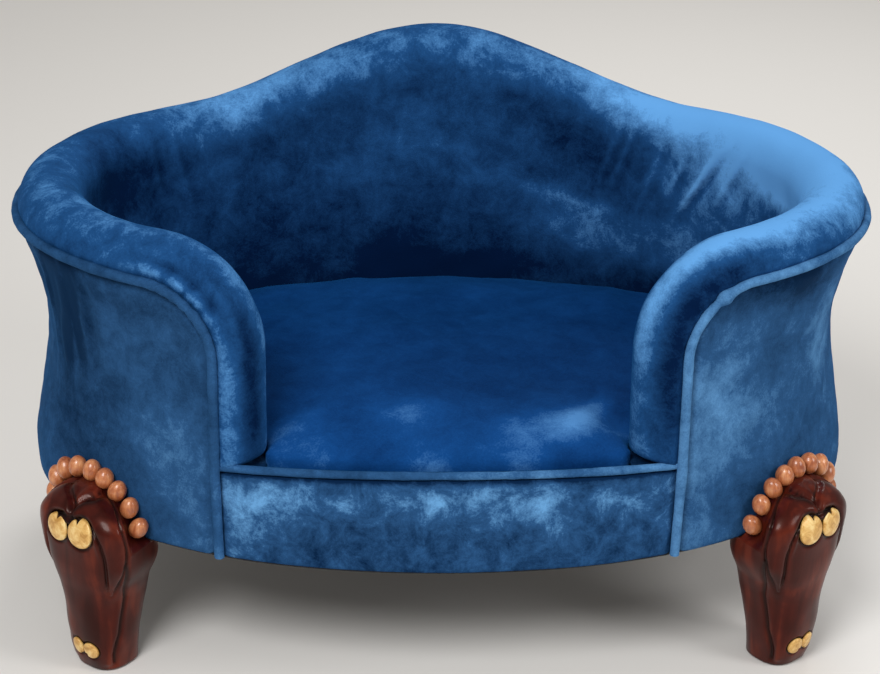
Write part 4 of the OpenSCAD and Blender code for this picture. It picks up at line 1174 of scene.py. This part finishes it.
def at_corners(*made):
    """Dresses front right pieces, and stands copies of them at the other corners"""
    for piece, finish, slot_name, ending in made:
        dressed(piece, finish, slot_name, "sofa", "front_right_" + ending)
    for name, (side, front) in OTHER_CORNERS.items():
        for piece, finish, slot_name, ending in made:
            copy = corner_copy(piece, piece.name.replace("front_right", name), side, front)
            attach(copy, "sofa")
            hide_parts(name + "_" + ending)


def capped(piece):
    """Closes a wrapped form at its foot and at its top"""
    bm = bmesh.new()
    bm.from_mesh(piece.data)
    rim = [e for e in bm.edges if e.is_boundary]
    bmesh.ops.holes_fill(bm, edges=rim, sides=0)
    bmesh.ops.recalc_face_normals(bm, faces=bm.faces)
    bm.to_mesh(piece.data)
    bm.free()
    return piece


leg = capped(grid_piece("front_right_carved_leg", 240, 172, leg_place, leg_press, joined=True))
# The hollows of the carving are painted on, so that the finish can darken them. The angle round the
# leg is found again from each corner's place.
leg_points = points_of(leg.data).astype(float)
leg_z = leg_points[:, 2]
sides = (leg_points[:, :2] - leg_origin) @ leg_side
fronts = (leg_points[:, :2] - leg_origin) @ leg_front
reach, back = leg_measure(leg_z, 5), leg_measure(leg_z, 6)
half_front = np.maximum((reach - back)*KNEE_OUT/2, 1e-4)
half_side = np.maximum(leg_measure(leg_z, 2)*KNEE_HALF, 1e-4)
around = np.arctan2(power(sides/half_side, SQUARENESS/2),
                    power((fronts - (reach + back)*KNEE_OUT/2)/half_front, SQUARENESS/2))
paint(leg.data, "hollow", carving(around, sides, leg_z)[1])
at_corners((leg, mahogany, "carved_wood", "leg"))

# %% [markdown]
# ## Beads and gold inlays
# Turned wooden beads stand in an arch against the velvet over each knee, a little longer than wide and
# touching one another. The inlays are thin domed ovals with a notch, two at the knee and two at the
# toe, painted gold.

# %% Beads
BEAD_D = 0.0176
ARCH_Z, ARCH_H, ARCH_HALF, ARCH_SIDE = 0.1401, 0.0413, 0.0516, 0.012
bead_turns = [-87, -62.5, -41.0, -20.5, 0, 20.5, 41.8, 64.6, 90]  # bearings of the beads in their arch
skin_sides = (plan_at(skin_angles, 0.0*skin_angles) - leg_origin) @ leg_side
side_order = np.argsort(skin_sides)


def bead_point(turn):
    """Middle of a bead, and the direction out of the velvet there"""
    z = ARCH_Z + ARCH_H*math.cos(math.radians(turn))
    inner = 0.0045*math.sin(math.radians(max(0, -2*turn)))
    side = ARCH_SIDE + ARCH_HALF*math.sin(math.radians(turn)) + inner
    t = np.interp(side, skin_sides[side_order], skin_angles[side_order])
    xy = plan_at(np.array(t), skin(np.array(t), np.array(z)) + BEAD_D/2 + LEG_GAP)
    return Vector((*xy, z)), plan_normal(np.array(t))


def smooth_piece(name, bm):
    bmesh.ops.recalc_face_normals(bm, faces=bm.faces)
    piece = linked(name, mesh_from(name, bm))
    shade_smooth(piece.data)
    return piece


def bead_row():
    bm = bmesh.new()
    random = np.random.default_rng(61)
    for turn in bead_turns:
        centre, out = bead_point(turn)
        # each stands upright, leaning a little with the arch
        lean = math.radians(0.35*turn) + 0.06*random.normal()
        outward = Vector((*out, 0))
        sideways = Vector((0, 0, 1)).cross(outward)
        long_way = (Vector((0, 0, 1))*math.cos(lean) + sideways*math.sin(lean)).normalized()
        across = long_way.cross(outward)
        turned = Matrix((across, outward, long_way)).transposed().to_4x4()
        tall = 1.10 + 0.08*abs(math.sin(math.radians(turn))) + 0.02*random.normal()
        made = bmesh.ops.create_uvsphere(bm, u_segments=28, v_segments=20, radius=BEAD_D/2)["verts"]
        for corner in made:
            egg = 1 - 0.08*(corner.co.z/(BEAD_D/2))
            corner.co = Vector((corner.co.x*0.90*egg, corner.co.y*0.97*egg, corner.co.z*tall))
        bmesh.ops.transform(bm, matrix=Matrix.Translation(centre) @ turned, verts=made)
    return smooth_piece("front_right_bead_row", bm)


# %% Gold inlays
def inlay_set():
    """Four domed ovals, pressed to the leg's surface, each with its notch"""
    bm = bmesh.new()
    for s0, z0, half_width, half_height, tilt, bearing_in in inlay_rows:
        made = bmesh.ops.create_grid(bm, x_segments=26, y_segments=26, size=1.0)["verts"]
        for corner in made:
            x, y = corner.co.x, corner.co.y
            x, y = x*math.sqrt(1 - y*y/2), y*math.sqrt(1 - x*x/2)
            reach, bearing = math.hypot(x, y), math.atan2(x, y)
            apart = math.atan2(math.sin(bearing - bearing_in), math.cos(bearing - bearing_in))
            notch = 0.42*math.exp(-(apart/0.16)**2)
            shrink = 1 - notch*reach**3
            x, y = x*shrink, y*shrink
            lean = math.radians(tilt)*0.6
            side = s0 + half_width*(x*math.cos(lean) + y*math.sin(lean)*0.5)
            z = z0 + half_height*(y*math.cos(lean) - x*math.sin(lean)*0.3)
            dome = 0.0016*math.sqrt(max(0.0, 1 - min(1, reach)**2.6)) - 0.0012*(reach > 0.999)
            corner.co = Vector((side, z, dome))
        # carried to the leg's front at that side and height
        flat = np.array([corner.co[:] for corner in made])
        half = np.maximum(leg_measure(flat[:, 1], 2)*KNEE_HALF, 1e-3)
        angle = np.arcsin(np.clip(power(flat[:, 0]/half, SQUARENESS/2), -1, 1))
        side, front = leg_surface(angle, flat[:, 1])
        out = front + 0.0004 + flat[:, 2]
        xy = leg_origin + flat[:, 0][:, None]*leg_side + out[:, None]*leg_front
        for corner, place, z in zip(made, xy, flat[:, 1]):
            corner.co = Vector((*place, z))
    piece = smooth_piece("front_right_gold_inlays", bm)
    rim = piece.modifiers.new("Rim", "SOLIDIFY")
    rim.thickness, rim.offset = 0.0016, -1
    return piece


at_corners((bead_row(), beads_finish, "bead_wood", "beads"), (inlay_set(), gold, "gold_inlay", "inlays"))
print("legs, beads and inlays at", 1 + len(OTHER_CORNERS), "corners")

# %% [markdown]
# ## Floor, light and camera
# A plain pale floor, a large soft lamp in front and above, weaker ones on the right and behind, and a
# camera set where the picture was taken from: a little to the left, looking down 24 degrees.

# %% Stage
floor_grid = bmesh.new()
bmesh.ops.create_grid(floor_grid, x_segments=4, y_segments=4, size=6)
floor = linked("floor", mesh_from("floor", floor_grid))
floor.data.materials.append(new_finish("pale floor", Base_Color=(0.80, 0.78, 0.75, 1), Roughness=0.6)[0])


def lamp(name, place, aim, size, power_w):
    light = bpy.data.lights.new(name, "AREA")
    light.shape, light.size, light.energy = "DISK", size, power_w
    piece = linked(name, light)
    piece.location = place
    piece.rotation_euler = (Vector(aim) - Vector(place)).to_track_quat("-Z", "Y").to_euler()
    return piece


lamp("front lamp", (-0.8, -1.9, 2.2), (0, 0, 0.25), 1.2, 52)
lamp("right lamp", (2.0, -1.2, 1.5), (0, 0, 0.25), 1.0, 20)
lamp("rear lamp", (0.6, 1.7, 1.8), (0, 0, 0.3), 1.0, 16)
world = bpy.data.worlds.new("studio")
world.use_nodes = True
sky = world.node_tree.nodes["Background"].inputs
sky["Color"].default_value, sky["Strength"].default_value = (0.86, 0.84, 0.81, 1), 0.42
bpy.context.scene.world = world
bpy.context.scene.view_settings.view_transform = "Standard"

# %% Camera
azimuth, elevation, roll = math.radians(-2.37), math.radians(24), math.radians(0.85)
right = Vector((math.cos(azimuth), math.sin(azimuth), 0))
back = Vector((math.sin(azimuth)*math.cos(elevation), -math.cos(azimuth)*math.cos(elevation),
               math.sin(elevation)))
up = back.cross(right)
across = right*math.cos(roll) + up*math.sin(roll)
upward = up*math.cos(roll) - right*math.sin(roll)
DISTANCE, AIM_Z, PIXELS_PER_M, PHOTO_WIDTH, SENSOR_MM = 2.2, 0.246, 1088, 880, 36
SHIFT_X, SHIFT_Y = -0.8, -9.1  # in pixels of the photograph
camera_data = bpy.data.cameras.new("camera")
camera_data.sensor_width = SENSOR_MM
camera_data.lens = SENSOR_MM*PIXELS_PER_M*DISTANCE/PHOTO_WIDTH
camera_data.shift_x, camera_data.shift_y = SHIFT_X/PHOTO_WIDTH, SHIFT_Y/PHOTO_WIDTH
camera = linked("camera", camera_data)
turned = Matrix((across, upward, back)).transposed().to_4x4()
camera.matrix_world = Matrix.Translation(Vector((0, 0, AIM_Z)) + DISTANCE*back) @ turned
bpy.context.scene.camera = camera
